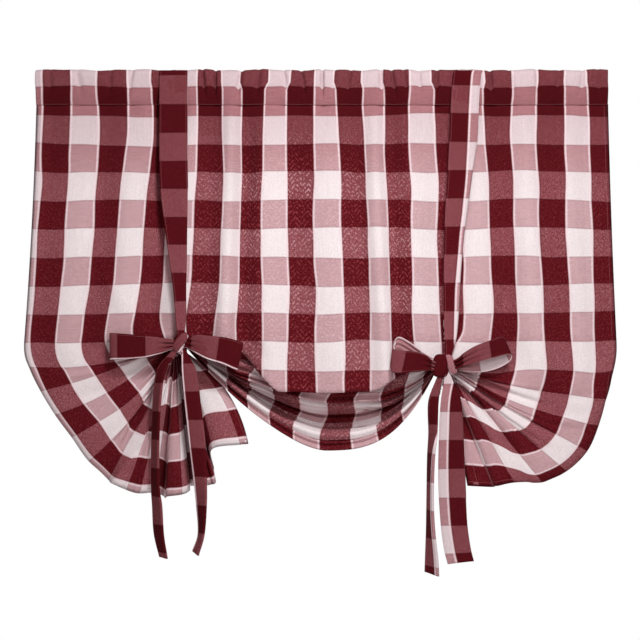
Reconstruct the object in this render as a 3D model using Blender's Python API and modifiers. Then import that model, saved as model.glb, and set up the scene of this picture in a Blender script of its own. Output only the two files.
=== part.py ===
"""Tie-up window valance of checked cotton, hung from a rod pocket and tied up twice.

Metres, +Z up, the front towards -Y, the origin at the middle of the heading's top edge.
Lengths in the tables are millimetres. Cloth is measured in checks: `across` counts them from
the left selvedge, `down` from the top of the heading. Depth is measured backwards.
"""

import math

import bpy
import numpy as np

MM = 0.001
CHECK = 50.8
CLOTH = 1.2
TIE_CLOTH = 1.8
GAP = 0.35
ACROSS_START = -0.25
ACROSS_END = 22.75
DOWN_END = 31.5

# The rod pocket: its depth, the radius over the rod's place, how far that starts below the
# heading's top edge, and the half thickness of its seam. The puffs are height, turns and start.
POCKET_DEEP = 65.0
POCKET_ROUND = 12.5
POCKET_DROP = 2.0
POCKET_SEAM = 0.9
POCKET_FULL = 0.9
POCKET_TAPER = 0.8
POCKET_PUFFS = ((0.9, 2.3, 0.0), (0.7, 5.1, 1.0))
POCKET_SWAY = 0.6
POCKET_SWAY_TURNS = 3.0
POCKET_LINES = 34
POCKET_AROUND = 14

# The soft upright folds: how deep and how steep they get, how they wander aside, and the rows
# between which they grow from their share at the heading.
RIPPLE_LINES = np.linspace(ACROSS_START, ACROSS_END, 93)
RIPPLE_AVERAGED = 7
RIPPLE_DEPTH = 19.735
RIPPLE_MOST_SLACK = 0.3
RIPPLE_ASIDE = 0.3
RIPPLE_ASIDE_TURNS = 0.9
RIPPLE_LEAN = 0.5
RIPPLE_LEAN_TURNS = 0.35
RIPPLE_QUIET_LEFT = 1.2
RIPPLE_QUIET_RIGHT = 21.3
RIPPLE_GROWS = (0.3, 4.0)
RIPPLE_AT_TOP = 0.25

# The gathers: the row where they start, and the row and the softness of the front's lower edge.
GATHER_TOP = 8.65
GATHER_ROWS = 458
FRONT_FOLD = 11.45
FOLD_EASED = 13.4
FOLD_SPREAD = 5.0
FOLD_ABOVE = 0.75
FOLD_BELOW = 0.6
FOLD_SHARPER = 0.45

# The swag: its lowest place from the left tie to the right one, the columns between which the
# front turns into it, how its two sides swoop, and how far its columns drift to the right.
SWAG_LOW = 0.56
SWAG_LEFT = (5.7, 7.0)
SWAG_RIGHT = (16.9, 15.8)
SWAG_STEPS = 161
LEFT_SWOOP = 1.55
RIGHT_SWOOP = 2.9
DEPTH_SWOOP = 3
SWAG_DRIFT = 0.36
SWAG_DRIFTS = (14.5, 16.8)

# The fans: how tight they are drawn, and how the side hems curl back and between which rows.
FAN_DRAWN = 0.08
LEFT_RIM = 7.0
RIGHT_RIM = 18.0
RIM_ROUND = 15.0
CURL_GROWS = (10.6, 12.2)
CURL_FADES = (17.2, 15.4)
SAG_SHAPE = 4

# The two bundles that the ties hold: middle (x, z), and the checks across where each starts and ends.
NECK_HALF = 10.0
NECK_SOFT = 6.0
LEFT_NECK = dict(x=-256.0, z=-491.0, outer=5.25, inner=5.65)
RIGHT_NECK = dict(x=216.0, z=-534.0, outer=17.05, inner=16.95)

# A strap is folded lengthwise behind its right edge: how far behind, over how much of its width
# it turns, and how much of the spare width goes back.
STRAP_BEHIND = 3.2
STRAP_TURN = 5.0
STRAP_TUCK = 0.8
STRAP_LINES = 7
STRIP_LINES = 4

# A knot: rings down it, points round it, how full its ends are, and the depth of its creases.
KNOT_RINGS = 9
KNOT_AROUND = 14
KNOT_FULL = 0.6
KNOT_CREASE = 0.06
KNOT_CREASES = 3

# The rows, in checks down, at which the warp lines below are given.
WARP_ROWS = (0.65, 4.65, 8.65)

# Warp lines: checks across, then x at the stitching, half way down and where the gathers start.
WARPS = np.array([
    (-0.25, -513.0, -520.0, -532.0),
    (1.0, -450.0, -459.0, -474.5),
    (2.0, -399.5, -407.5, -427.5),
    (3.0, -349.0, -362.0, -387.0),
    (4.0, -304.0, -312.5, -337.0),
    (5.0, -261.0, -275.5, -291.5),
    (6.0, -221.5, -229.5, -242.0),
    (7.0, -181.0, -180.0, -191.0),
    (8.0, -142.0, -144.5, -152.0),
    (9.0, -102.5, -107.0, -108.0),
    (10.0, -59.5, -59.5, -61.0),
    (11.0, -12.5, -14.5, -13.5),
    (12.0, 27.0, 33.5, 38.5),
    (13.0, 71.0, 80.0, 84.5),
    (14.0, 113.5, 117.0, 124.0),
    (15.0, 156.0, 158.5, 164.0),
    (16.0, 203.5, 207.0, 212.5),
    (17.0, 245.0, 254.0, 254.0),
    (18.0, 288.0, 302.0, 305.0),
    (19.0, 338.5, 344.0, 349.0),
    (20.0, 385.0, 388.0, 397.0),
    (21.0, 434.5, 436.5, 444.5),
    (22.0, 478.0, 485.0, 490.5),
    (22.75, 514.0, 519.5, 527.5)])

# Where the hanging front folds under: checks across, checks down.
FRONT_EDGE = np.array([
    (-0.25, 10.2), (1.0, 10.3), (2.0, 10.2), (3.0, 10.0), (5.45, 9.3), (6.8, 9.5), (7.7, 9.8),
    (8.3, 10.1), (9.0, 10.94), (9.5, 11.36), (10.3, 11.45), (12.4, 11.45), (13.3, 11.4),
    (14.1, 10.94), (14.9, 10.73), (15.7, 10.55), (17.35, 10.0), (18.0, 10.5), (19.0, 11.1),
    (20.0, 11.3), (21.0, 11.3), (22.0, 10.9), (22.75, 10.4)])

# One row for each crease or roll of the gathered cloth, going down the cloth.
# down | bundle: depth, rise | left hem: x, z, depth, sag | swag: z, depth
#      | right hem: x, z, depth, sag.
FOLDS = np.array([
    (8.65, -2, 0, -532, -439, 0, 0, -439, 0, 527, -439, 0, 0),
    (9.65, -2, 0, -535, -488, 0, 0, -488, 0, 527, -490, 0, 0),
    (10.65, -1, -4, -527, -536, 0, 14, -538, 0, 523, -542, 0, 18),
    (11.45, 0, -8, -510, -574, 0, 4, -580, -4, 517, -581, 0, 10),
    (12.05, 3, 8, -495, -601, 0, 7, -552, 16, 509, -610, 0, 16),
    (12.65, 5, 5, -479, -626, 1, 14, -580, 20, 500, -640, 0, 20),
    (13.65, 7, -4, -451, -664, 2, 20, -605, 26, 479, -688, 0, 7),
    (14.65, 9, -8, -421, -706, 2, 16, -624, 66, 441, -725, 0, 0),
    (15.30, 11, 8, -397, -729, 8, 3, -634, 84, 413, -739, 0, 0),
    (15.62, 12, 4, -386, -741, 12, 2, -641, 86, 397, -745, 0, 0),
    (15.90, 13, 2, -380, -745, -4, 22, -650, 82, 383, -746, 0, 0),
    (16.20, 13, 0, -369, -750, -5, 14, -652.5, 22, 371, -744, -1, 0),
    (16.65, 14, -4, -352, -757, -6, 2, -667.5, 8, 347, -744, -4, 0),
    (17.60, 16, -9, -329, -763, -8, 0, -687, 12, 312, -750, -6, 0),
    (18.40, 17, 0, -308, -763, 6, 0, -680, 58, 304, -748, 20, 0),
    (19.30, 18, 9, -292, -769, 38, 0, -639, 100, 324, -740, 44, 0),
    (20.10, 19, 0, -283, -774, 20, 0, -598, 104, 342, -736, 34, 0),
    (20.80, 20, -9, -279, -769, -6, 0, -625, 107, 356, -733, 18, 0),
    (21.70, 21, -3, -250, -765, -2, 0, -671, 110, 335, -734, 36, 0),
    (22.60, 22, 2, -238, -758, 14, 0, -628, 113, 313, -736, 52, 0),
    (23.40, 23, 9, -245, -754, 44, 0, -598, 116, 299, -736, 66, 0),
    (24.50, 25, 0, -227, -752, 20, 0, -632, 119, 324, -731, 58, 0),
    (25.50, 26, -9, -214, -751, 2, 0, -671, 122, 346, -725, 48, 0),
    (26.60, 28, -3, -205, -749, 0, 0, -628, 125, 324, -729, 68, 0),
    (27.60, 29, 4, -192, -745, 8, 0, -598, 128, 299, -734, 80, 0),
    (28.50, 31, 9, -196, -728, 44, 0, -628, 131, 284, -740, 72, 0),
    (29.60, 33, -9, -198, -684, 0, -8, -668, 134, 295, -747, 36, 0),
    (30.60, 35, -10, -149, -676, -2, -20, -632, 137, 310, -752, 2, 0),
    (31.50, 37, -9, -133, -675, 8, -26, -603, 140, 262, -750, 0, 0)], float)


def through(table, column, at):
    """A smooth curve through one column of a table, read against its first column."""
    knots, values = table[:, 0], table[:, column]
    step = np.diff(knots)
    slope = np.diff(values) / step
    lean = np.empty_like(values)
    lean[1:-1] = (slope[:-1] * step[1:] + slope[1:] * step[:-1]) / (step[1:] + step[:-1])
    lean[0], lean[-1] = slope[0], slope[-1]
    at = np.asarray(at, float)
    i = np.clip(np.searchsorted(knots, at, side="right") - 1, 0, len(step) - 1)
    t = (at - knots[i]) / step[i]
    rest = (t**3 - 2 * t**2 + t) * lean[i] + (t**3 - t**2) * lean[i + 1]
    blend = 3 * t**2 - 2 * t**3
    return values[i] * (1 - blend) + values[i + 1] * blend + rest * step[i]


def ease(start, end, at):
    t = np.clip((at - start) / (end - start), 0, 1)
    return t * t * (3 - 2 * t)


def line(start, end, share):
    share = np.asarray(share, float)[..., None]
    return np.asarray(start, float) * (1 - share) + np.asarray(end, float) * share


def ripple(across, down):
    """Depth of the soft upright folds: they take up the cloth that the rod gathers."""
    tight = np.gradient(through(WARPS, 2, RIPPLE_LINES), RIPPLE_LINES) / CHECK
    even = np.convolve(tight, np.ones(RIPPLE_AVERAGED) / RIPPLE_AVERAGED, "same")
    slack = 1 - np.interp(across, RIPPLE_LINES, even)
    height = RIPPLE_DEPTH * np.sqrt(np.clip(slack, 0.0, RIPPLE_MOST_SLACK))
    turn = math.pi * (across + RIPPLE_ASIDE * np.sin(RIPPLE_ASIDE_TURNS * across))
    lean = RIPPLE_LEAN * np.sin(RIPPLE_LEAN_TURNS * down)
    ends = ease(ACROSS_START, RIPPLE_QUIET_LEFT, across) * ease(ACROSS_END, RIPPLE_QUIET_RIGHT, across)
    swell = RIPPLE_AT_TOP + (1 - RIPPLE_AT_TOP) * ease(*RIPPLE_GROWS, down)
    return np.outer(height * ends, swell) * np.sin(turn[:, None] + lean[None, :])


def hanging(across, down):
    """The flat front, from the heading to where it folds under."""
    x = 0
    for k, here in enumerate(WARP_ROWS):
        others = [row for row in WARP_ROWS if row != here]
        weight = np.prod([(down - other) / (here - other) for other in others], axis=0)
        x = x + np.outer(through(WARPS, k + 1, across), weight)
    z = np.broadcast_to(-down * CHECK, x.shape)
    return np.stack([x, ripple(across, down), z], -1)


def fall(length, cloth, room):
    """Distance along a pull line for a length of cloth: what is spare bunches at the tie."""
    slack = cloth - room
    if slack <= 0:
        return length * room / cloth
    return length - slack * (length / cloth) ** 3


def bundle(neck, down):
    """Where each line across the cloth passes through the tie."""
    depth, rise = through(FOLDS, 1, down), through(FOLDS, 2, down)
    z = neck["z"] + rise
    return depth, z + NECK_SOFT * np.logaddexp(0, (-down * CHECK - z) / NECK_SOFT)


def fan(across, down, neck, side):
    """A fan from the tie to one side hem: side is -1 on the left, 1 on the right."""
    first = 3 if side < 0 else 9
    end = ACROSS_START if side < 0 else ACROSS_END
    rim = LEFT_RIM if side < 0 else RIGHT_RIM
    depth, rise = bundle(neck, down)
    length = np.abs(across - end) * CHECK
    cloth = abs(neck["outer"] - end) * CHECK
    out = np.zeros((len(across), len(down), 3))
    for j in range(len(down)):
        x, z, back, sag = (float(through(FOLDS, first + k, down[j])) for k in range(4))
        tie = np.array([neck["x"] + side * NECK_HALF, depth[j], rise[j]])
        hem = np.array([x, back, z])
        reach = tie - hem
        room = np.linalg.norm(reach)
        drawn = ease(*CURL_FADES, down[j])
        curl = rim * ease(*CURL_GROWS, down[j]) * drawn
        curled = curl * np.exp(-length / RIM_ROUND)
        tight = 1 - FAN_DRAWN * drawn
        run = tight * (length - curl + curled)
        whole = tight * (cloth - curl)
        share = (run - (whole - room) * (run / whole) ** 3) / room
        down_hill = np.array([reach[2], 0.0, -reach[0]]) / max(np.hypot(reach[0], reach[2]), 1e-6)
        down_hill = down_hill * (-1 if down_hill[2] > 0 else 1)
        out[:, j] = line(hem, tie, share) + np.outer(sag * SAG_SHAPE * share * (1 - share), down_hill)
        out[:, j, 1] += curled
    return out


def swag(across, down):
    """The rolls that hang from tie to tie, lowest a little right of the middle."""
    left_depth, left_rise = bundle(LEFT_NECK, down)
    right_depth, right_rise = bundle(RIGHT_NECK, down)
    start, end = LEFT_NECK["x"] + NECK_HALF, RIGHT_NECK["x"] - NECK_HALF
    steps = np.linspace(0, 1, SWAG_STEPS)
    on_left = steps < SWAG_LOW
    t = np.where(on_left, 1 - steps / SWAG_LOW, (steps - SWAG_LOW) / (1 - SWAG_LOW))
    drop = 1 - t ** np.where(on_left, LEFT_SWOOP, RIGHT_SWOOP)
    push = 1 - t**DEPTH_SWOOP
    cloth = (RIGHT_NECK["inner"] - LEFT_NECK["inner"]) * CHECK
    out = np.zeros((len(across), len(down), 3))
    for j in range(len(down)):
        side_z = np.where(on_left, left_rise[j], right_rise[j])
        side_y = np.where(on_left, left_depth[j], right_depth[j])
        z = side_z + (through(FOLDS, 7, down[j]) - side_z) * drop
        y = side_y + (through(FOLDS, 8, down[j]) - side_y) * push
        curve = np.stack([start + (end - start) * steps, y, z], -1)
        along = np.concatenate([[0], np.cumsum(np.linalg.norm(np.diff(curve, axis=0), axis=1))])
        low = np.interp(SWAG_LOW, steps, along)
        left_cloth = cloth * low / along[-1] + SWAG_DRIFT * CHECK * ease(*SWAG_DRIFTS, down[j])
        right_cloth = cloth - left_cloth
        length = (across - LEFT_NECK["inner"]) * CHECK - left_cloth
        on = length >= 0
        place = np.empty_like(length)
        place[~on] = low - fall(-length[~on], left_cloth, low)
        place[on] = low + fall(length[on], right_cloth, along[-1] - low)
        out[:, j] = np.stack([np.interp(place, along, curve[:, k]) for k in range(3)], -1)
    return out


def neck_piece(across, down, neck):
    depth, rise = bundle(neck, down)
    share = (across - neck["outer"]) / (neck["inner"] - neck["outer"])
    side = math.copysign(1.0, neck["x"])
    x = neck["x"] + side * NECK_HALF * (1 - 2 * share)
    out = np.zeros((len(across), len(down), 3))
    out[..., 0] = x[:, None]
    out[..., 1] = depth[None, :]
    out[..., 2] = rise[None, :]
    return out


def gathered(across, down):
    """The cloth below the front: left fan, tie, swag, tie, right fan."""
    a, b = LEFT_NECK["outer"], LEFT_NECK["inner"]
    c, d = RIGHT_NECK["inner"], RIGHT_NECK["outer"]
    parts = [
        fan(across[across <= a], down, LEFT_NECK, -1),
        neck_piece(across[(across > a) & (across <= b)], down, LEFT_NECK),
        swag(across[(across > b) & (across < c)], down),
        neck_piece(across[(across >= c) & (across < d)], down, RIGHT_NECK),
        fan(across[across >= d], down, RIGHT_NECK, 1)]
    return np.concatenate(parts)


def panel_surface(across, down):
    """The whole cloth, as points in millimetres for each check across and down."""
    edge = through(FRONT_EDGE, 1, across)
    in_swag = ease(*SWAG_LEFT, across) * ease(*SWAG_RIGHT, across)
    shift = (FRONT_FOLD - edge) * in_swag
    fine = np.linspace(GATHER_TOP, DOWN_END, GATHER_ROWS)
    rolls = gathered(across, fine)
    top = np.maximum(down, GATHER_TOP)
    flat = hanging(across, down)
    out = np.empty_like(flat)
    for i in range(len(across)):
        lower = np.minimum(top + shift[i] * ease(edge[i] + FOLD_SPREAD, edge[i], top), DOWN_END)
        roll = np.stack([np.interp(lower, fine, rolls[i, :, k]) for k in range(3)], -1)
        fold = hanging(across[i:i + 1], edge[i:i + 1])[0, 0]
        fold_row = np.array([np.interp(FRONT_FOLD, fine, rolls[i, :, k]) for k in range(3)])
        roll = roll + np.outer(ease(FOLD_EASED, FRONT_FOLD, lower), (fold - fold_row) * in_swag[i])
        sharper = FOLD_SHARPER * in_swag[i]
        blend = ease(edge[i] - FOLD_ABOVE + sharper, edge[i] + FOLD_BELOW - sharper, down)[:, None]
        out[i] = flat[i] * (1 - blend) + roll * blend
    return out


def pocket_surface(across, around):
    """The heading: a sleeve, round over the rod's place and flat down to its stitching."""
    middle = hanging(across, np.array([POCKET_DEEP / CHECK]))[:, 0]
    puff = sum(tall * np.sin(turns * across + start) for tall, turns, start in POCKET_PUFFS)
    top = -POCKET_ROUND - POCKET_DROP
    out = np.zeros((len(across), len(around), 3))
    for j, turn in enumerate(around):
        side = math.cos(turn)
        low = max(-math.sin(turn), 0.0)
        half = POCKET_ROUND * abs(side) ** POCKET_FULL + POCKET_SEAM * low
        round_y = -(POCKET_ROUND + puff * math.sin(turn)) * side
        round_z = top + (POCKET_ROUND + puff) * math.sin(turn)
        upper = math.sin(turn) >= 0
        out[:, j, 0] = middle[:, 0] + POCKET_SWAY * np.sin(POCKET_SWAY_TURNS * across + turn)
        out[:, j, 1] = round_y if upper else -math.copysign(half, side) + middle[:, 1] * low
        out[:, j, 2] = round_z if upper else top - (POCKET_DEEP + top) * low ** POCKET_TAPER
    return out


# Each strip: rows from one end to the other, as the two long edges (x, y, z and x, y, z).
# Where the edges are nearer than the strip is wide, the rest is folded behind the second edge.
STRIPS = dict(
    left_front_strap=[
        (-292, -12, -4, -242, -12, -4),
        (-292, -15.1, -15, -242, -15.1, -15),
        (-292, -15, -50, -242, -15, -50),
        (-292, -14, -110, -242, -14, -110),
        (-291, -16, -200, -241, -16, -200),
        (-284, -18, -270, -242, -18, -270),
        (-276, -19, -330, -243, -19, -330),
        (-267, -20, -395, -244, -20, -395),
        (-263, -20, -445, -244, -20, -445),
        (-260, -19, -474, -247, -19, -474),
        (-259, -17, -488, -248, -17, -488)],
    right_front_strap=[
        (237, -12, -4, 291, -12, -4),
        (234, -15.2, -15, 287, -15.2, -15),
        (231, -15, -60, 282, -15, -60),
        (228, -14, -130, 278, -14, -130),
        (225, -16, -190, 269, -16, -190),
        (221, -18, -250, 261, -18, -250),
        (219, -19, -300, 254, -19, -300),
        (218, -20, -370, 248, -20, -370),
        (218, -20, -430, 245, -20, -430),
        (219, -20, -480, 241, -20, -480),
        (220, -19, -508, 234, -19, -508),
        (218, -17, -524, 229, -17, -524)],
    left_back_strap=[
        (-285, 12, -4, -235, 12, -4),
        (-285, 15.4, -15, -235, 15.4, -15),
        (-284, 15, -60, -234, 15, -60),
        (-283, 16, -150, -235, 16, -150),
        (-278, 20, -300, -238, 20, -300),
        (-268, 28, -400, -244, 28, -400),
        (-258, 45, -466, -248, 45, -466),
        (-258, 48, -490, -248, 48, -490),
        (-255, 44, -502.5, -246, 44, -502.5),
        (-254.5, 35.5, -503.9, -245.5, 35.5, -503.9),
        (-254, 12, -506, -245, 12, -506),
        (-254, -4, -504, -245, -4, -504),
        (-259, -14, -499, -252, -14, -499)],
    right_back_strap=[
        (240, 12, -4, 290, 12, -4),
        (240, 15.6, -15, 290, 15.6, -15),
        (239, 15, -60, 289, 15, -60),
        (234, 16, -150, 282, 16, -150),
        (222, 20, -300, 262, 20, -300),
        (212, 28, -430, 236, 28, -430),
        (210, 45, -508, 222, 45, -508),
        (210, 48, -532, 222, 48, -532),
        (210, 44, -547, 222, 44, -547),
        (210, 35, -551, 222, 35, -551),
        (210, 12, -550, 222, 12, -550),
        (211, -4, -547, 222, -4, -547),
        (213, -14, -541, 223, -14, -541)],
    left_bow_outer_loop=[
        (-262, -17, -488, -262, -16, -502),
        (-274, -20, -486, -274, -19, -506),
        (-290, -26, -483, -290, -26, -512),
        (-315, -30, -480, -314, -31, -518),
        (-345, -30, -477, -343, -31, -521),
        (-372, -27, -475, -371, -28, -522),
        (-380, -20, -475, -379, -21, -523),
        (-372, -13, -476, -371, -14, -522),
        (-345, -10, -480, -343, -11, -520),
        (-315, -9, -486, -314, -10, -514),
        (-290, -9, -490, -290, -10, -508),
        (-274, -9.5, -491, -274, -10, -506),
        (-262, -13, -491, -262, -13, -502)],
    left_bow_inner_loop=[
        (-248, -17, -484, -248, -16, -500),
        (-237, -20, -481, -237, -19, -504),
        (-222, -26, -478, -224, -26, -512),
        (-200, -30, -480, -204, -31, -522),
        (-172, -30, -483, -178, -31, -530),
        (-150, -27, -489, -160, -28, -538),
        (-141, -20, -493, -152, -21, -541),
        (-150, -13, -491, -160, -14, -536),
        (-174, -10, -488, -180, -11, -526),
        (-200, -9, -486, -204, -10, -518),
        (-222, -9, -486, -224, -10, -508),
        (-237, -9.5, -486, -237, -10, -504),
        (-248, -13, -487, -248, -13, -500)],
    right_bow_inner_loop=[
        (212, -17, -527, 212, -16, -540),
        (199, -20, -523, 198, -19, -542),
        (186, -26, -514, 184, -26, -543),
        (166, -30, -508, 160, -31, -545),
        (142, -28, -506, 132, -29, -546),
        (128, -22, -503, 123, -23, -540),
        (131, -15, -486, 126, -16, -516),
        (140, -10, -482, 133, -11, -508),
        (158, -9, -492, 150, -10, -514),
        (180, -9, -508, 174, -10, -528),
        (199, -9.5, -519, 198, -10, -537),
        (212, -13, -524, 212, -13, -538)],
    right_bow_outer_loop=[
        (228, -17, -526, 228, -16, -540),
        (241, -20, -521, 242, -19, -539),
        (254, -26, -510, 256, -26, -534),
        (274, -30, -498, 278, -31, -527),
        (300, -30, -488, 305, -31, -520),
        (318, -27, -482, 330, -28, -514),
        (326, -20, -484, 340, -21, -516),
        (322, -13, -493, 336, -14, -527),
        (304, -10, -506, 312, -11, -540),
        (278, -9, -514, 282, -10, -546),
        (256, -9, -518, 258, -10, -545),
        (241, -9.5, -521, 242, -10, -542),
        (228, -13, -525, 228, -13, -540)],
    left_bow_outer_tail=[
        (-262, -15, -500, -256, -17, -503),
        (-276, -15, -514, -266, -21, -516),
        (-296, -15, -540, -280, -28, -540),
        (-303, -14, -590, -288, -40, -590),
        (-306, -12, -660, -292, -42, -660),
        (-307, -10, -745, -292, -42, -745),
        (-305, -10, -785, -287, -40, -785),
        (-302, -10, -835, -284, -38, -835),
        (-292, -14, -876, -277, -36, -878)],
    left_bow_inner_tail=[
        (-253, -15, -503, -246, -16, -503),
        (-252, -17, -518, -238, -17, -518),
        (-251, -20, -545, -225, -22, -545),
        (-246, -22, -600, -218, -26, -600),
        (-238, -22, -673, -209, -30, -673),
        (-231, -20, -733, -207, -34, -733),
        (-226, -14, -783, -207, -36, -783),
        (-223, -8, -835, -212, -34, -835),
        (-233, -10, -866, -222, -30, -873)],
    right_bow_inner_tail=[
        (213, -14, -542, 219, -16, -544),
        (203, -14, -562, 213, -20, -564),
        (190, -16, -600, 207, -26, -600),
        (191, -12, -655, 204, -38, -655),
        (189, -10, -700, 198, -46, -700),
        (188, -8, -775, 196, -46, -775),
        (187, -8, -830, 199, -44, -830),
        (185, -10, -880, 205, -42, -880),
        (184, -12, -903, 207, -40, -909)],
    right_bow_outer_tail=[
        (221, -17, -544, 228, -14, -544),
        (218, -19, -564, 236, -14, -564),
        (212, -26, -600, 250, -12, -600),
        (209, -24, -660, 254, -12, -660),
        (208, -22, -740, 257, -14, -740),
        (212, -20, -812, 260, -16, -812),
        (218, -20, -860, 266, -16, -858),
        (225, -20, -889, 272, -18, -884)])

# Each knot is a band drawn tight round the bow: middle (x, y, z), half sizes, and its lean in degrees.
KNOTS = dict(
    left_knot=dict(at=(-254, -15.5, -492), half=(13, 9.5, 18), lean=32),
    right_knot=dict(at=(220, -15.5, -532), half=(19, 9.5, 20), lean=-12))

COLOURS = dict(
    panel=(0.52, 0.24, 0.27), rod_pocket=(0.48, 0.2, 0.23), strap=(0.3, 0.05, 0.07),
    knot=(0.24, 0.03, 0.05), loop=(0.34, 0.08, 0.1), tail=(0.38, 0.12, 0.14))
ROUGH = 0.9


def strip_edges(rows):
    """The two long edges of a strip, with a line half way between each two of its rows."""
    table = np.column_stack([np.arange(len(rows)), np.array(rows, float)])
    at = np.linspace(0, len(rows) - 1, 2 * len(rows) - 1)
    first = np.stack([through(table, k, at) for k in (1, 2, 3)], -1)
    second = np.stack([through(table, k, at) for k in (4, 5, 6)], -1)
    return first, second


def strip_surface(rows):
    """A strip, flat between its two long edges."""
    first, second = strip_edges(rows)
    shares = np.linspace(0, 1, STRIP_LINES)
    return np.array([line(first[i], second[i], shares) for i in range(len(first))])


def strap_surface(rows):
    """A strap: full width at the heading, folded lengthwise behind its right edge lower down."""
    first, second = strip_edges(rows)
    out = np.zeros((len(first), STRAP_LINES, 3))
    for i in range(len(first)):
        wide = np.linalg.norm(second[i] - first[i])
        face = min(wide, CHECK)
        side = (second[i] - first[i]) / wide
        for j, length in enumerate(np.linspace(0, CHECK, STRAP_LINES)):
            spare = max(length - face, 0.0)
            far = min(length, face) - STRAP_TUCK * min(spare, face)
            behind = STRAP_BEHIND * ease(0.0, STRAP_TURN, spare)
            out[i, j] = first[i] + side * far + np.array([0.0, behind, 0.0])
    return out


def solid_from(name, points, thickness, closed=False):
    """Gives the open sheet its thickness."""
    long, wide = points.shape[:2]
    index = np.arange(long * wide).reshape(long, wide)
    if closed:
        index = np.concatenate([index, index[:, :1]], axis=1)
    quads = np.stack([index[:-1, :-1], index[1:, :-1], index[1:, 1:], index[:-1, 1:]], -1)
    mesh = bpy.data.meshes.new(name)
    mesh.from_pydata((points.reshape(-1, 3) * MM).tolist(), [], quads.reshape(-1, 4).tolist())
    mesh.shade_smooth()
    obj = bpy.data.objects.new(name, mesh)
    shell = obj.modifiers.new("cloth thickness", "SOLIDIFY")
    shell.thickness = thickness * MM
    shell.offset = 0.0
    shell.use_even_offset = False
    return obj


def knot_object(name, at, half, lean):
    """A tight band: a rounded lump with creases along it."""
    tilt = math.radians(lean)
    points = [(0.0, 0.0, half[2])]
    for i in range(1, KNOT_RINGS):
        up = math.pi * i / KNOT_RINGS
        for k in range(KNOT_AROUND):
            turn = 2 * math.pi * k / KNOT_AROUND
            crease = 1 + KNOT_CREASE * math.cos(KNOT_CREASES * turn + up)
            size = math.sin(up) ** KNOT_FULL * crease
            x = half[0] * size * math.cos(turn)
            y = half[1] * size * math.sin(turn)
            points.append((x, y, half[2] * math.cos(up)))
    points.append((0.0, 0.0, -half[2]))
    faces = [(0, 1 + k, 1 + (k + 1) % KNOT_AROUND) for k in range(KNOT_AROUND)]
    for i in range(KNOT_RINGS - 2):
        a = 1 + i * KNOT_AROUND
        for k in range(KNOT_AROUND):
            n = (k + 1) % KNOT_AROUND
            faces.append((a + k, a + KNOT_AROUND + k, a + KNOT_AROUND + n, a + n))
    last = len(points) - 1
    a = last - KNOT_AROUND
    faces += [(last, a + (k + 1) % KNOT_AROUND, a + k) for k in range(KNOT_AROUND)]
    turned = []
    for x, y, z in points:
        px = x * math.cos(tilt) + z * math.sin(tilt)
        pz = z * math.cos(tilt) - x * math.sin(tilt)
        turned.append(((px + at[0]) * MM, (y + at[1]) * MM, (pz + at[2]) * MM))
    mesh = bpy.data.meshes.new(name)
    mesh.from_pydata(turned, [], faces)
    mesh.shade_smooth()
    return bpy.data.objects.new(name, mesh)


def trim_against(obj, knot):
    """The strips run into the knot, and stop just short of its skin."""
    cut = obj.modifiers.new("trim at the knot", "BOOLEAN")
    cut.operation = "DIFFERENCE"
    cut.solver = "EXACT"
    cut.object = knot


def cloth_material(name, colour):
    material = bpy.data.materials.new(name)
    material.use_nodes = True
    shader = material.node_tree.nodes["Principled BSDF"]
    shader.inputs["Base Color"].default_value = (*colour, 1.0)
    shader.inputs["Roughness"].default_value = ROUGH
    return material


# The lines of the panel: closest at the ties, and one on each crease and most of them between.
ACROSS = np.concatenate([
    np.linspace(ACROSS_START, 4.6, 9), [5.0, 5.25, 5.65, 6.0], np.linspace(6.6, 16.1, 17),
    [16.6, 16.95, 17.05, 17.5], np.linspace(18.1, ACROSS_END, 9)])
PANEL_TOP = (POCKET_DEEP + CLOTH / 2 + GAP) / CHECK
CREASES = FOLDS[1:, 0]
BETWEEN = (CREASES[:-1] + CREASES[1:])[CREASES[1:] < 20.5] / 2
DOWN = np.concatenate([
    np.linspace(PANEL_TOP, 8.0, 7), [8.7, 9.2], np.sort(np.concatenate([CREASES, BETWEEN]))])
POCKET_ACROSS = np.linspace(ACROSS_START, ACROSS_END, POCKET_LINES)
POCKET_TURNS = 2 * math.pi * (np.arange(POCKET_AROUND) + 0.5) / POCKET_AROUND

for old in list(bpy.data.objects):
    bpy.data.objects.remove(old, do_unlink=True)

valance = bpy.data.collections.new("tie_up_valance")
bpy.context.scene.collection.children.link(valance)
guides = bpy.data.collections.new("guides")
bpy.context.scene.collection.children.link(guides)

pieces = [
    solid_from("panel", panel_surface(ACROSS, DOWN), CLOTH),
    solid_from("rod_pocket", pocket_surface(POCKET_ACROSS, POCKET_TURNS), CLOTH, True)]
for strip_name, strip_rows in STRIPS.items():
    surface = strap_surface if strip_name.endswith("front_strap") else strip_surface
    pieces.append(solid_from(strip_name, surface(strip_rows), TIE_CLOTH))
for knot_name, knot_size in KNOTS.items():
    pieces.append(knot_object(knot_name, **knot_size))
    clear_size = dict(knot_size, half=[size + GAP for size in knot_size["half"]])
    clearance = knot_object(knot_name + "_clearance", **clear_size)
    clearance.hide_render = True
    clearance.display_type = "WIRE"
    guides.objects.link(clearance)
    for strip in pieces:
        if strip.name.split("_")[0] == knot_name.split("_")[0] and strip.name != knot_name:
            trim_against(strip, clearance)
for piece in pieces:
    kind = piece.name if piece.name in COLOURS else piece.name.split("_")[-1]
    piece.data.materials.append(cloth_material(piece.name + " cotton", COLOURS[kind]))
    valance.objects.link(piece)
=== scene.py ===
import math

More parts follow.
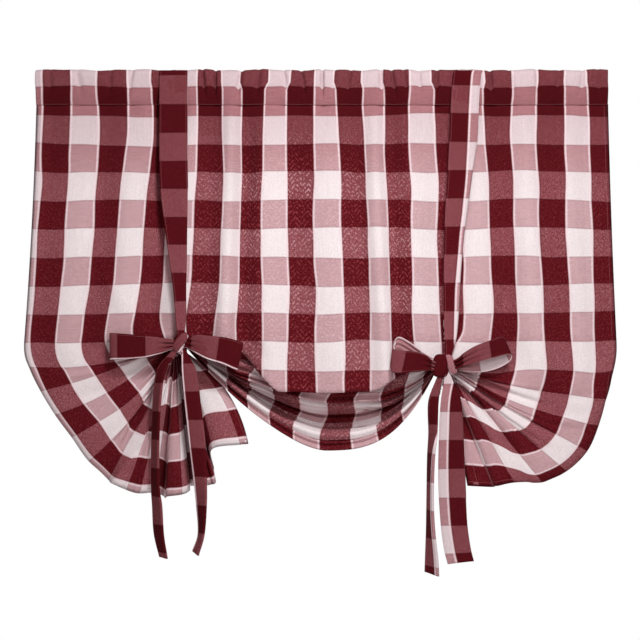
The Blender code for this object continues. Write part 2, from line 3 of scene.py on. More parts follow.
import bmesh
import bpy
import numpy as np
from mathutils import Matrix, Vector


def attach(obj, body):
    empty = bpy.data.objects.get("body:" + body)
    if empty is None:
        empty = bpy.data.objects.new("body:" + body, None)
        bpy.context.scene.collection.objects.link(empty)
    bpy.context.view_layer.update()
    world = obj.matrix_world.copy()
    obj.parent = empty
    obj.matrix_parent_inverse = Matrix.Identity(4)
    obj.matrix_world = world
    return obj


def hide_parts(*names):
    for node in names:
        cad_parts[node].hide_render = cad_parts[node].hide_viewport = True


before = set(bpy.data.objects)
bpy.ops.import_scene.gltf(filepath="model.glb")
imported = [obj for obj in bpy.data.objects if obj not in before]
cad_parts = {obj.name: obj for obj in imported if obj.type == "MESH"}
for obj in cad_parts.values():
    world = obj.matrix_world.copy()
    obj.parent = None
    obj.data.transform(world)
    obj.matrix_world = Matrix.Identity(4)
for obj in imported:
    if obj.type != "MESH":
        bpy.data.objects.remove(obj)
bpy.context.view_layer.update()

# The looks of a tie-up window valance in yarn-dyed buffalo check cotton.
# Tables are in millimetres. Cloth is measured in checks: `across` from the left selvedge,
# `down` from the top of the heading. Depth is measured backwards, away from the room.

MM = 0.001
CHECK = 50.8
CLOTH = 0.9
CLOTH_MAP = "cloth"
ACROSS_START = -0.25
ACROSS_END = 22.75
DOWN_END = 31.5
FIRST_WEFT = 0.65

# The rod pocket: its depth, the radius over the rod's place, how far that starts below the
# heading's top edge, the half thickness of its seam, how it narrows to the seam, the puffs
# (height, turns and start), its sideways sway, the cloth cut for it and how much of it is flat.
POCKET_DEEP = 65.0
POCKET_ROUND = 12.5
POCKET_DROP = 2.0
POCKET_SEAM = 0.9
POCKET_GAP = -1.6
POCKET_TAPER = 2.2
POCKET_FALL = 0.8
POCKET_PUFFS = ((0.9, 2.3, 0.0), (0.7, 5.1, 1.0))
POCKET_SWAY = 0.6
POCKET_SWAY_TURNS = 3.0
POCKET_COLUMNS = 680
POCKET_AROUND = 48
HEADING_FLAT = 42.0
HEADING_STRAIGHT = (36.0, 26.0)
SEAM_COLUMN = 2

# The heading's pinches: how much deeper and narrower than in their table, the crest beside each,
# how they lean, between which heights they fade, and how far they draw the top edge and the rows.
PINCH_DEEPER = 2.3
PINCH_TIGHT = 0.55
PINCH_CREST = 1.3
PINCH_LEAN = 7.0
PINCH_LEAN_WAVE = 31.0
PINCH_LEAN_HEIGHT = 40.0
PINCH_HEIGHTS = (63.0, 26.0)
PINCH_SINKS = 0.25
PINCH_DRAWN = 0.014
PINCH_ON_PANEL = 0.8
PINCH_PANEL_ROWS = (3.4, 1.2)

# The soft upright folds: how deep and how steep they get, how they wander aside, and the rows
# between which they grow from their share at the heading.
RIPPLE_LINES = np.linspace(ACROSS_START, ACROSS_END, 93)
RIPPLE_AVERAGED = 7
RIPPLE_DEPTH = 62.0 / math.pi
RIPPLE_MOST_SLACK = 0.3
RIPPLE_ASIDE = 0.3
RIPPLE_ASIDE_TURNS = 0.9
RIPPLE_LEAN = 0.5
RIPPLE_LEAN_TURNS = 0.35
RIPPLE_QUIET_LEFT = 1.2
RIPPLE_QUIET_RIGHT = 21.3
RIPPLE_GROWS = (0.3, 4.0)
RIPPLE_AT_TOP = 0.25

# Where the front turns into the gathers, and the softness of its lower edge.
GATHER_TOP = 8.65
GATHER_ROWS = 458
FRONT_FOLD = 11.45
FOLD_EASED = 13.4
FOLD_SPREAD = 5.0
FOLD_ABOVE = 0.75
FOLD_BELOW = 0.6
FOLD_SHARPER = 0.45

# The swag: its lowest place from the left tie to the right one, the columns between which the
# front turns into it, how its two sides swoop, and how far its columns drift to the right.
SWAG_LOW = 0.56
SWAG_LEFT = (5.7, 7.0)
SWAG_RIGHT = (16.9, 15.8)
SWAG_STEPS = 161
LEFT_SWOOP = 1.55
RIGHT_SWOOP = 2.9
DEPTH_SWOOP = 3
SWAG_DRIFT = 0.36
SWAG_DRIFTS = (14.5, 16.8)

# The fans: how tight they are drawn, and how the side hems curl back and between which rows.
FAN_DRAWN = 0.08
LEFT_RIM = 7.0
RIGHT_RIM = 18.0
RIM_ROUND = 15.0
CURL_GROWS = (10.6, 12.2)
CURL_FADES = (17.2, 15.4)
SAG_SHAPE = 4

# The two bundles that the ties hold: middle (x, z), and the checks across where each starts and ends.
NECK_HALF = 10.0
NECK_SOFT = 6.0
LEFT_NECK = dict(x=-256.0, z=-491.0, outer=5.25, inner=5.65)
RIGHT_NECK = dict(x=216.0, z=-534.0, outer=17.05, inner=16.95)

# The small pleats of the gathers: how many to a check, how much of the cloth they take up, and
# where they grow, are weak in the fans and turn to the back in the swag.
PLEATS = 1.5
PLEAT_WANDER = ((0.7, 1.3), (0.5, 0.9))
TAKEN_UP = 0.85
MOST_GATHERED = 3.4
LEAST_ROOM = 0.04
GATHER_REACH = 0.6
PLEATS_GROW = (8.4, 10.5)
PLEATS_WEAK = 0.85
PLEATS_WEAK_LEFT = (4.6, 2.6)
PLEATS_WEAK_RIGHT = (17.7, 19.2)
PLEATS_HIDDEN = ((22.4, 23.6), (30.2, 28.8))
PLEATS_SWAG_LEFT = (5.65, 7.0)
PLEATS_SWAG_RIGHT = (16.95, 15.6)
PLEATS_BACK = (17.5, 20.0)

# The soft unevenness of pressed cotton: depth, then turns across and down; and the creases' ends.
BROAD_DEPTH = 0.5
BROAD_TURNS = ((1.7, 0.9), (-0.6, 0.8))
FINE_DEPTH = 0.35
FINE_TURNS = (3.9, -0.4, 1.0)
FINE_ROWS = (9.0, 2.0)
CREASE_END = 0.04
CREASE_FADE = 0.6

# The panel's lines in runs (from, to, how many), closest at the ties and in the gathers.
ACROSS_RUNS = (
    (ACROSS_START, 4.7, 35), (4.85, 6.1, 14), (6.25, 16.3, 64), (16.4, 17.8, 15),
    (17.95, ACROSS_END, 34))
DOWN_RUNS = (
    ((POCKET_DEEP + POCKET_GAP) / CHECK, 8.6, 42), (8.72, 12.0, 29), (12.06, 17.94, 99),
    (18.05, 21.9, 36), (22.05, DOWN_END, 60))
QUIET_EDGE = 0.7
SIDE_HEM = 10.0
BOTTOM_HEM = 18.0
HEM_GAP = 1.1
HEM_TURN = 0.4
HEM_ROWS = 3

# The ties: thickness, rounding of the edges, the dip along the top-stitching, the lines across a
# strip, how it folds behind itself, and the widths between which a loop's pleats fade.
TIE_THICK = 2.0
EDGE_ROUND = 1.6
TOP_STITCH = 3.0
STITCH_PULLED = 0.4
STITCH_GROOVE = 0.9
SEEN_MOST = 0.98
SEEN_LINES = 17
TUCKED_LINES = 11
RIM_LINES = (0.012, 0.03, 0.97, 0.988)
STRIP_SMOOTH = 8
FOLD_GAP = 2.6
FOLD_TURN = 1.2
FOLD_MOST = 5
NARROW_LOOP = 16.0
WIDE_LOOP = 36.0
LOOP_START = 0.6

# The knots: rings down a lobe, points round it, how full its ends are, and its creases.
KNOT_RINGS = 30
KNOT_AROUND = 60
KNOT_END = 0.06
KNOT_FULL = 0.6
KNOT_SWELL = 1.07
KNOT_CREASE = 0.26
KNOT_SHARP = 1.6
KNOT_TWIST = 0.9
KNOT_WRAP = 0.05

# The stitches and the weave: threads and herringbone turns to a check, half the blur of a
# stripe's border, and the zigzag of the pale flecks with the columns and rows where they show.
STITCH_PITCH = 4.0
STITCH_LONG = 3.0
STITCH_STANDS = 0.1
THREAD_ROUND = 0.3
THREADS = 108.0
HERRINGBONE = 12.0
TWILL = 3.0
BORDER = 0.028
CHEVRON_WIDE = 0.24
CHEVRON_TALL = 0.19
CHEVRON_SLOPE = 1.1
CHEVRON_LINE = (0.04, 0.38)
FLECK_GRAIN = (0.46, 0.60)
FLECK_PATCHY = (0.1, 1.5)
FLECK_MIDDLE = 11.2
FLECK_SIDES = (3.6, 6.4)
FLECK_CENTRAL = (0.45, 1.45)
FLECK_ROWS = (1.5, 3.6)
FLECK_AT_TOP = (1.0, 0.1)
SPECKLE = (-1.3, 1.3)

# Fine lines along the stripes' borders: place and half width in borders, and strength; then how
# much the yarn, the cloth and its fuzz vary in shade, and how rough the cloth is.
PALE_LINE = (1.5, 1.9, 0.85)
DEEP_LINE = (-1.3, 1.3, 0.35)
ROW_LINE = (-0.8, 1.3)
ROW_SHADE = (1.0, 0.84)
SLUBBED = (0.20, 0.46)
CLOUDED = (0.95, 1.05)
FUZZED = (0.86, 1.14)
ROUGHNESS = (0.85, 0.98)
LENGTHWAYS = (26.0, 1.3, 1.0)
SIDEWAYS = (2.2, 34.0, 1.0)
WEAVE_RELIEF = 0.18
TWILL_RELIEF = -0.5
GLOSS = 0.05
SHEEN = 0.012
SHEEN_SPREAD = 0.5

# The room: a camera straight in front, the floor, and the light that comes from all round.
PICTURE_WIDTH = 640
PIXEL = 0.0018
SENSOR = 36.0
CAMERA_AWAY = 4.0
CAMERA_X = -0.0036
CAMERA_Z = -0.4518
FLOOR_Z = -1.3
FLOOR_HALF = 1.7
FLOOR_PAINTS = ((0.80, 0.80, 0.79), (0.86, 0.86, 0.85))
FLOOR_ROUGH = 0.75
WHITE = (1.0, 1.0, 1.0, 1.0)
SURROUND = 0.22
SURROUND_TINT = (1.0, 0.80, 0.83, 1.0)

# Each lamp in metres and watts: place, what it points at, size and power.
LAMPS = dict(
    key_lamp=((0.45, -1.7, 1.15), (0.0, 0.0, -0.4), 0.5, 36.0),
    front_lamp=((0.10, -0.85, -0.30), (0.05, 0.0, -0.45), 0.4, 2.2),
    back_lamp=((-0.9, 2.3, 0.5), (0.0, 0.0, -0.4), 1.2, 30.0))

# The rows, in checks down, at which the warp lines below are given.
WARP_ROWS = (0.65, 4.65, 8.65)

# Warp lines: checks across, then x at the stitching, half way down and where the gathers start.
WARPS = np.array([
    (-0.25, -513.0, -520.0, -532.0), (1.0, -450.0, -459.0, -474.5), (2.0, -399.5, -407.5, -427.5),
    (3.0, -349.0, -362.0, -387.0), (4.0, -304.0, -312.5, -337.0), (5.0, -261.0, -275.5, -291.5),
    (6.0, -221.5, -229.5, -242.0), (7.0, -181.0, -180.0, -191.0), (8.0, -142.0, -144.5, -152.0),
    (9.0, -102.5, -107.0, -108.0), (10.0, -59.5, -59.5, -61.0), (11.0, -12.5, -14.5, -13.5),
    (12.0, 27.0, 33.5, 38.5), (13.0, 71.0, 80.0, 84.5), (14.0, 113.5, 117.0, 124.0),
    (15.0, 156.0, 158.5, 164.0), (16.0, 203.5, 207.0, 212.5), (17.0, 245.0, 254.0, 254.0),
    (18.0, 288.0, 302.0, 305.0), (19.0, 338.5, 344.0, 349.0), (20.0, 385.0, 388.0, 397.0),
    (21.0, 434.5, 436.5, 444.5), (22.0, 478.0, 485.0, 490.5), (22.75, 514.0, 519.5, 527.5)])

# Where the hanging front folds under: checks across, checks down.
FRONT_EDGE = np.array([
    (-0.25, 10.2), (1.0, 10.3), (2.0, 10.2), (3.0, 10.0), (5.45, 9.3), (6.8, 9.5), (7.7, 9.8),
    (8.3, 10.1), (9.0, 10.94), (9.5, 11.36), (10.3, 11.45), (12.4, 11.45), (13.3, 11.4),
    (14.1, 10.94), (14.9, 10.73), (15.7, 10.55), (17.35, 10.0), (18.0, 10.5), (19.0, 11.1),
    (20.0, 11.3), (21.0, 11.3), (22.0, 10.9), (22.75, 10.4)])

# One row for each crease or roll of the gathered cloth, going down the cloth.
# down | bundle: depth, rise | left hem: x, z, depth, sag | swag: z, depth
#      | right hem: x, z, depth, sag.   Depth is measured backwards.
FOLDS = np.array([
    (8.65, -2, 0, -532, -439, 0, 0, -439, 0, 527, -439, 0, 0),
    (9.65, -2, 0, -535, -488, 0, 0, -488, 0, 527, -490, 0, 0),
    (10.65, -1, -4, -527, -536, 0, 14, -538, 0, 523, -542, 0, 18),
    (11.45, 0, -8, -510, -574, 0, 4, -580, -4, 517, -581, 0, 10),
    (12.05, 3, 8, -495, -601, 0, 7, -552, 16, 509, -610, 0, 16),
    (12.65, 5, 5, -479, -626, 1, 14, -580, 20, 500, -640, 0, 20),
    (13.65, 7, -4, -451, -664, 2, 20, -605, 26, 479, -688, 0, 7),
    (14.65, 9, -8, -421, -706, 2, 16, -624, 66, 441, -725, 0, 0),
    (15.30, 11, 8, -397, -729, 8, 3, -634, 84, 413, -739, 0, 0),
    (15.62, 12, 4, -386, -741, 12, 2, -641, 86, 397, -745, 0, 0),
    (15.90, 13, 2, -380, -745, -4, 22, -650, 82, 383, -746, 0, 0),
    (16.20, 13, 0, -369, -750, -5, 14, -652.5, 22, 371, -744, -1, 0),
    (16.65, 14, -4, -352, -757, -6, 2, -667.5, 8, 347, -744, -4, 0),
    (17.60, 16, -9, -329, -763, -8, 0, -687, 12, 312, -750, -6, 0),
    (18.40, 17, 0, -308, -763, 6, 0, -680, 58, 304, -748, 20, 0),
    (19.30, 18, 9, -292, -769, 38, 0, -639, 100, 324, -740, 44, 0),
    (20.10, 19, 0, -283, -774, 20, 0, -598, 104, 342, -736, 34, 0),
    (20.80, 20, -9, -279, -769, -6, 0, -625, 107, 356, -733, 18, 0),
    (21.70, 21, -3, -250, -765, -2, 0, -671, 110, 335, -734, 36, 0),
    (22.60, 22, 2, -238, -758, 14, 0, -628, 113, 313, -736, 52, 0),
    (23.40, 23, 9, -245, -754, 44, 0, -598, 116, 299, -736, 66, 0),
    (24.50, 25, 0, -227, -752, 20, 0, -632, 119, 324, -731, 58, 0),
    (25.50, 26, -9, -214, -751, 2, 0, -671, 122, 346, -725, 48, 0),
    (26.60, 28, -3, -205, -749, 0, 0, -628, 125, 324, -729, 68, 0),
    (27.60, 29, 4, -192, -745, 8, 0, -598, 128, 299, -734, 80, 0),
    (28.50, 31, 9, -196, -728, 44, 0, -628, 131, 284, -740, 72, 0),
    (29.60, 33, -9, -198, -684, 0, -8, -668, 134, 295, -747, 36, 0),
    (30.60, 35, -10, -149, -676, -2, -20, -632, 137, 310, -752, 2, 0),
    (31.50, 37, -9, -133, -675, 8, -26, -603, 140, 262, -750, 0, 0)], float)


def through(table, column, at):
    """A smooth curve through one column of a table, read against its first column."""
    knots, values = table[:, 0], table[:, column]
    step = np.diff(knots)
    slope = np.diff(values) / step
    lean = np.empty_like(values)
    lean[1:-1] = (slope[:-1] * step[1:] + slope[1:] * step[:-1]) / (step[1:] + step[:-1])
    lean[0], lean[-1] = slope[0], slope[-1]
    at = np.asarray(at, float)
    i = np.clip(np.searchsorted(knots, at, side="right") - 1, 0, len(step) - 1)
    t = (at - knots[i]) / step[i]
    rest = (t**3 - 2 * t**2 + t) * lean[i] + (t**3 - t**2) * lean[i + 1]
    blend = 3 * t**2 - 2 * t**3
    return values[i] * (1 - blend) + values[i + 1] * blend + rest * step[i]


def ease(start, end, at):
    t = np.clip((at - start) / (end - start), 0, 1)
    return t * t * (3 - 2 * t)


def line(start, end, share):
    share = np.asarray(share, float)[..., None]
    return np.asarray(start, float) * (1 - share) + np.asarray(end, float) * share


def ripple(across, down):
    """Depth of the soft upright folds: they take up the cloth that the rod gathers."""
    tight = np.gradient(through(WARPS, 2, RIPPLE_LINES), RIPPLE_LINES) / CHECK
    even = np.convolve(tight, np.ones(RIPPLE_AVERAGED) / RIPPLE_AVERAGED, "same")
    slack = 1 - np.interp(across, RIPPLE_LINES, even)
    height = RIPPLE_DEPTH * np.sqrt(np.clip(slack, 0.0, RIPPLE_MOST_SLACK))
    turn = math.pi * (across + RIPPLE_ASIDE * np.sin(RIPPLE_ASIDE_TURNS * across))
    lean = RIPPLE_LEAN * np.sin(RIPPLE_LEAN_TURNS * down)
    ends = ease(ACROSS_START, RIPPLE_QUIET_LEFT, across) * ease(ACROSS_END, RIPPLE_QUIET_RIGHT, across)
    swell = RIPPLE_AT_TOP + (1 - RIPPLE_AT_TOP) * ease(*RIPPLE_GROWS, down)
    return np.outer(height * ends, swell) * np.sin(turn[:, None] + lean[None, :])


def hanging(across, down):
    """The flat front, from the heading to where it folds under."""
    x = 0
    for k, here in enumerate(WARP_ROWS):
        others = [row for row in WARP_ROWS if row != here]
        weight = np.prod([(down - other) / (here - other) for other in others], axis=0)
        x = x + np.outer(through(WARPS, k + 1, across), weight)
    z = np.broadcast_to(-down * CHECK, x.shape)
    return np.stack([x, ripple(across, down), z], -1)


def fall(length, cloth, room):
    """Distance along a pull line for a length of cloth: what is spare bunches at the tie."""
    slack = cloth - room
    if slack <= 0:
        return length * room / cloth
    return length - slack * (length / cloth) ** 3


def bundle(neck, down):
    """Where each line across the cloth passes through the tie."""
    depth, rise = through(FOLDS, 1, down), through(FOLDS, 2, down)
    z = neck["z"] + rise
    return depth, z + NECK_SOFT * np.logaddexp(0, (-down * CHECK - z) / NECK_SOFT)


def fan(across, down, neck, side):
    """A fan from the tie to one side hem: side is -1 on the left, 1 on the right."""
    first = 3 if side < 0 else 9
    end = ACROSS_START if side < 0 else ACROSS_END
    rim = LEFT_RIM if side < 0 else RIGHT_RIM
    depth, rise = bundle(neck, down)
    length = np.abs(across - end) * CHECK
    cloth = abs(neck["outer"] - end) * CHECK
    out = np.zeros((len(across), len(down), 3))
    for j in range(len(down)):
        x, z, back, sag = (float(through(FOLDS, first + k, down[j])) for k in range(4))
        tie = np.array([neck["x"] + side * NECK_HALF, depth[j], rise[j]])
        hem = np.array([x, back, z])
        reach = tie - hem
        room = np.linalg.norm(reach)
        drawn = ease(*CURL_FADES, down[j])
        curl = rim * ease(*CURL_GROWS, down[j]) * drawn
        curled = curl * np.exp(-length / RIM_ROUND)
        tight = 1 - FAN_DRAWN * drawn
        run = tight * (length - curl + curled)
        whole = tight * (cloth - curl)
        share = (run - (whole - room) * (run / whole) ** 3) / room
        down_hill = np.array([reach[2], 0.0, -reach[0]]) / max(np.hypot(reach[0], reach[2]), 1e-6)
        down_hill = down_hill * (-1 if down_hill[2] > 0 else 1)
        out[:, j] = line(hem, tie, share) + np.outer(sag * SAG_SHAPE * share * (1 - share), down_hill)
        out[:, j, 1] += curled
    return out


def swag(across, down):
    """The rolls that hang from tie to tie, lowest a little right of the middle."""
    left_depth, left_rise = bundle(LEFT_NECK, down)
    right_depth, right_rise = bundle(RIGHT_NECK, down)
    start, end = LEFT_NECK["x"] + NECK_HALF, RIGHT_NECK["x"] - NECK_HALF
    steps = np.linspace(0, 1, SWAG_STEPS)
    on_left = steps < SWAG_LOW
    t = np.where(on_left, 1 - steps / SWAG_LOW, (steps - SWAG_LOW) / (1 - SWAG_LOW))
    drop = 1 - t ** np.where(on_left, LEFT_SWOOP, RIGHT_SWOOP)
    push = 1 - t**DEPTH_SWOOP
    cloth = (RIGHT_NECK["inner"] - LEFT_NECK["inner"]) * CHECK
    out = np.zeros((len(across), len(down), 3))
    for j in range(len(down)):
        side_z = np.where(on_left, left_rise[j], right_rise[j])
        side_y = np.where(on_left, left_depth[j], right_depth[j])
        z = side_z + (through(FOLDS, 7, down[j]) - side_z) * drop
        y = side_y + (through(FOLDS, 8, down[j]) - side_y) * push
        curve = np.stack([start + (end - start) * steps, y, z], -1)
        along = np.concatenate([[0], np.cumsum(np.linalg.norm(np.diff(curve, axis=0), axis=1))])
        low = np.interp(SWAG_LOW, steps, along)
        left_cloth = cloth * low / along[-1] + SWAG_DRIFT * CHECK * ease(*SWAG_DRIFTS, down[j])
        right_cloth = cloth - left_cloth
        length = (across - LEFT_NECK["inner"]) * CHECK - left_cloth
        on = length >= 0
        place = np.empty_like(length)
        place[~on] = low - fall(-length[~on], left_cloth, low)
        place[on] = low + fall(length[on], right_cloth, along[-1] - low)
        out[:, j] = np.stack([np.interp(place, along, curve[:, k]) for k in range(3)], -1)
    return out


def neck_piece(across, down, neck):
    depth, rise = bundle(neck, down)
    share = (across - neck["outer"]) / (neck["inner"] - neck["outer"])
    side = math.copysign(1.0, neck["x"])
    x = neck["x"] + side * NECK_HALF * (1 - 2 * share)
    out = np.zeros((len(across), len(down), 3))
    out[..., 0] = x[:, None]
    out[..., 1] = depth[None, :]
    out[..., 2] = rise[None, :]
    return out


def gathered(across, down):
    """The cloth below the front: left fan, tie, swag, tie, right fan."""
    a, b = LEFT_NECK["outer"], LEFT_NECK["inner"]
    c, d = RIGHT_NECK["inner"], RIGHT_NECK["outer"]
    parts = [
        fan(across[across <= a], down, LEFT_NECK, -1),
        neck_piece(across[(across > a) & (across <= b)], down, LEFT_NECK),
        swag(across[(across > b) & (across < c)], down),
        neck_piece(across[(across >= c) & (across < d)], down, RIGHT_NECK),
        fan(across[across >= d], down, RIGHT_NECK, 1)]
    return np.concatenate(parts)


def panel_surface(across, down):
    """The whole cloth, as points in millimetres for each check across and down."""
    edge = through(FRONT_EDGE, 1, across)
    in_swag = ease(*SWAG_LEFT, across) * ease(*SWAG_RIGHT, across)
    shift = (FRONT_FOLD - edge) * in_swag
    fine = np.linspace(GATHER_TOP, DOWN_END, GATHER_ROWS)
    rolls = gathered(across, fine)
    top = np.maximum(down, GATHER_TOP)
    flat = hanging(across, down)
    out = np.empty_like(flat)
    for i in range(len(across)):
        lower = np.minimum(top + shift[i] * ease(edge[i] + FOLD_SPREAD, edge[i], top), DOWN_END)
        roll = np.stack([np.interp(lower, fine, rolls[i, :, k]) for k in range(3)], -1)
        fold = hanging(across[i:i + 1], edge[i:i + 1])[0, 0]
        fold_row = np.array([np.interp(FRONT_FOLD, fine, rolls[i, :, k]) for k in range(3)])
        roll = roll + np.outer(ease(FOLD_EASED, FRONT_FOLD, lower), (fold - fold_row) * in_swag[i])
        sharper = FOLD_SHARPER * in_swag[i]
        blend = ease(edge[i] - FOLD_ABOVE + sharper, edge[i] + FOLD_BELOW - sharper, down)[:, None]
        out[i] = flat[i] * (1 - blend) + roll * blend
    return out


# Each strip: rows from one end to the other, as the two long edges (x, y, z and x, y, z).
# Where the edges are nearer than the strip is wide, the rest is folded behind the second edge.
STRIPS = dict(
    left_front_strap=[
        (-292, -12, -4, -242, -12, -4), (-292, -15.1, -15, -242, -15.1, -15),
        (-292, -15, -50, -242, -15, -50), (-292, -14, -110, -242, -14, -110),
        (-291, -16, -200, -241, -16, -200), (-284, -18, -270, -242, -18, -270),
        (-276, -19, -330, -243, -19, -330), (-267, -20, -395, -244, -20, -395),
        (-263, -20, -445, -244, -20, -445), (-260, -19, -474, -247, -19, -474),
        (-259, -17, -488, -248, -17, -488)],
    right_front_strap=[
        (237, -12, -4, 291, -12, -4), (234, -15.2, -15, 287, -15.2, -15),
        (231, -15, -60, 282, -15, -60), (228, -14, -130, 278, -14, -130),
        (225, -16, -190, 269, -16, -190), (221, -18, -250, 261, -18, -250),
        (219, -19, -300, 254, -19, -300), (218, -20, -370, 248, -20, -370),
        (218, -20, -430, 245, -20, -430), (219, -20, -480, 241, -20, -480),
        (220, -19, -508, 234, -19, -508), (218, -17, -524, 229, -17, -524)],
    left_back_strap=[
        (-285, 12, -4, -235, 12, -4), (-285, 15.4, -15, -235, 15.4, -15),
        (-284, 15, -60, -234, 15, -60), (-283, 16, -150, -235, 16, -150),
        (-278, 20, -300, -238, 20, -300), (-268, 28, -400, -244, 28, -400),
        (-258, 45, -466, -248, 45, -466), (-258, 48, -490, -248, 48, -490),
        (-255, 44, -502.5, -246, 44, -502.5), (-254.5, 35.5, -503.9, -245.5, 35.5, -503.9),
        (-254, 12, -506, -245, 12, -506), (-254, -4, -504, -245, -4, -504),
        (-259, -14, -499, -252, -14, -499)],
    right_back_strap=[
        (240, 12, -4, 290, 12, -4), (240, 15.6, -15, 290, 15.6, -15), (239, 15, -60, 289, 15, -60),
        (234, 16, -150, 282, 16, -150), (222, 20, -300, 262, 20, -300), (212, 28, -430, 236, 28, -430),
        (210, 45, -508, 222, 45, -508), (210, 48, -532, 222, 48, -532), (210, 44, -547, 222, 44, -547),
        (210, 35, -551, 222, 35, -551), (210, 12, -550, 222, 12, -550), (211, -4, -547, 222, -4, -547),
        (213, -14, -541, 223, -14, -541)],
    left_bow_outer_loop=[
        (-262, -17, -488, -262, -16, -502), (-274, -20, -486, -274, -19, -506),
        (-290, -26, -483, -290, -26, -512), (-315, -30, -480, -314, -31, -518),
        (-345, -30, -477, -343, -31, -521), (-372, -27, -475, -371, -28, -522),
        (-380, -20, -475, -379, -21, -523), (-372, -13, -476, -371, -14, -522),
        (-345, -10, -480, -343, -11, -520), (-315, -9, -486, -314, -10, -514),
        (-290, -9, -490, -290, -10, -508), (-274, -9.5, -491, -274, -10, -506),
        (-262, -13, -491, -262, -13, -502)],
    left_bow_inner_loop=[
        (-248, -17, -484, -248, -16, -500), (-237, -20, -481, -237, -19, -504),
        (-222, -26, -478, -224, -26, -512), (-200, -30, -480, -204, -31, -522),
        (-172, -30, -483, -178, -31, -530), (-150, -27, -489, -160, -28, -538),
        (-141, -20, -493, -152, -21, -541), (-150, -13, -491, -160, -14, -536),
        (-174, -10, -488, -180, -11, -526), (-200, -9, -486, -204, -10, -518),
        (-222, -9, -486, -224, -10, -508), (-237, -9.5, -486, -237, -10, -504),
        (-248, -13, -487, -248, -13, -500)],
    right_bow_inner_loop=[
        (212, -17, -527, 212, -16, -540), (199, -20, -523, 198, -19, -542),
        (186, -26, -514, 184, -26, -543), (166, -30, -508, 160, -31, -545),
        (142, -28, -506, 132, -29, -546), (128, -22, -503, 123, -23, -540),
        (131, -15, -486, 126, -16, -516), (140, -10, -482, 133, -11, -508),
        (158, -9, -492, 150, -10, -514), (180, -9, -508, 174, -10, -528),
        (199, -9.5, -519, 198, -10, -537), (212, -13, -524, 212, -13, -538)],
    right_bow_outer_loop=[
        (228, -17, -526, 228, -16, -540), (241, -20, -521, 242, -19, -539),
        (254, -26, -510, 256, -26, -534), (274, -30, -498, 278, -31, -527),
        (300, -30, -488, 305, -31, -520), (318, -27, -482, 330, -28, -514),
        (326, -20, -484, 340, -21, -516), (322, -13, -493, 336, -14, -527),
        (304, -10, -506, 312, -11, -540), (278, -9, -514, 282, -10, -546),
        (256, -9, -518, 258, -10, -545), (241, -9.5, -521, 242, -10, -542),
        (228, -13, -525, 228, -13, -540)],
    left_bow_outer_tail=[
        (-262, -15, -500, -256, -17, -503), (-276, -15, -514, -266, -21, -516),
        (-296, -15, -540, -280, -28, -540), (-303, -14, -590, -288, -40, -590),
        (-306, -12, -660, -292, -42, -660), (-307, -10, -745, -292, -42, -745),
        (-305, -10, -785, -287, -40, -785), (-302, -10, -835, -284, -38, -835),
        (-292, -14, -876, -277, -36, -878)],
    left_bow_inner_tail=[
        (-253, -15, -503, -246, -16, -503), (-252, -17, -518, -238, -17, -518),
        (-251, -20, -545, -225, -22, -545), (-246, -22, -600, -218, -26, -600),
        (-238, -22, -673, -209, -30, -673), (-231, -20, -733, -207, -34, -733),
        (-226, -14, -783, -207, -36, -783), (-223, -8, -835, -212, -34, -835),
        (-233, -10, -866, -222, -30, -873)],
    right_bow_inner_tail=[
        (213, -14, -542, 219, -16, -544), (203, -14, -562, 213, -20, -564),
        (190, -16, -600, 207, -26, -600), (191, -12, -655, 204, -38, -655),
        (189, -10, -700, 198, -46, -700), (188, -8, -775, 196, -46, -775),
        (187, -8, -830, 199, -44, -830), (185, -10, -880, 205, -42, -880),
        (184, -12, -903, 207, -40, -909)],
    right_bow_outer_tail=[
        (221, -17, -544, 228, -14, -544), (218, -19, -564, 236, -14, -564),
        (212, -26, -600, 250, -12, -600), (209, -24, -660, 254, -12, -660),
        (208, -22, -740, 257, -14, -740), (212, -20, -812, 260, -16, -812),
        (218, -20, -860, 266, -16, -858), (225, -20, -889, 272, -18, -884)])

# Pinches of the gathered heading: x, depth and half width.
PINCHES = np.array([
    (-486, 0.7, 9), (-436, 0.9, 12), (-378, 0.8, 9), (-340, 1.2, 8), (-212, 2.2, 7),
    (-190, 2.6, 6), (-144, 3.0, 8), (-112, 1.6, 10), (-66, 1.6, 8), (-34, 2.0, 7), (2, 3.0, 7),
    (24, 1.2, 9), (52, 1.6, 8), (108, 2.6, 8), (128, 2.2, 7), (150, 1.6, 8), (176, 1.4, 9),
    (208, 2.4, 8), (262, 1.6, 9), (304, 2.6, 8), (340, 1.2, 9), (388, 1.6, 8), (428, 1.2, 9),
    (470, 1.4, 8), (498, 1.0, 8)])

# Columns of the heading over the rod, where the pinches draw them aside: across, x.
HEADING_WARPS = np.array([
    (-0.25, -514.0), (0.0, -501.5), (1.0, -450.7), (2.0, -400.1), (3.0, -350.0), (4.0, -306.7),
    (5.0, -262.0), (6.0, -222.1), (7.0, -182.3), (8.0, -146.5), (9.0, -95.4), (10.0, -54.5),
    (11.0, -12.6), (12.0, 22.7), (13.0, 67.3), (14.0, 110.3), (15.0, 155.5), (16.0, 197.0),
    (17.0, 245.0), (18.0, 292.0), (19.0, 338.4), (20.0, 387.0), (21.0, 433.1), (22.0, 475.9),
    (22.75, 513.0)])

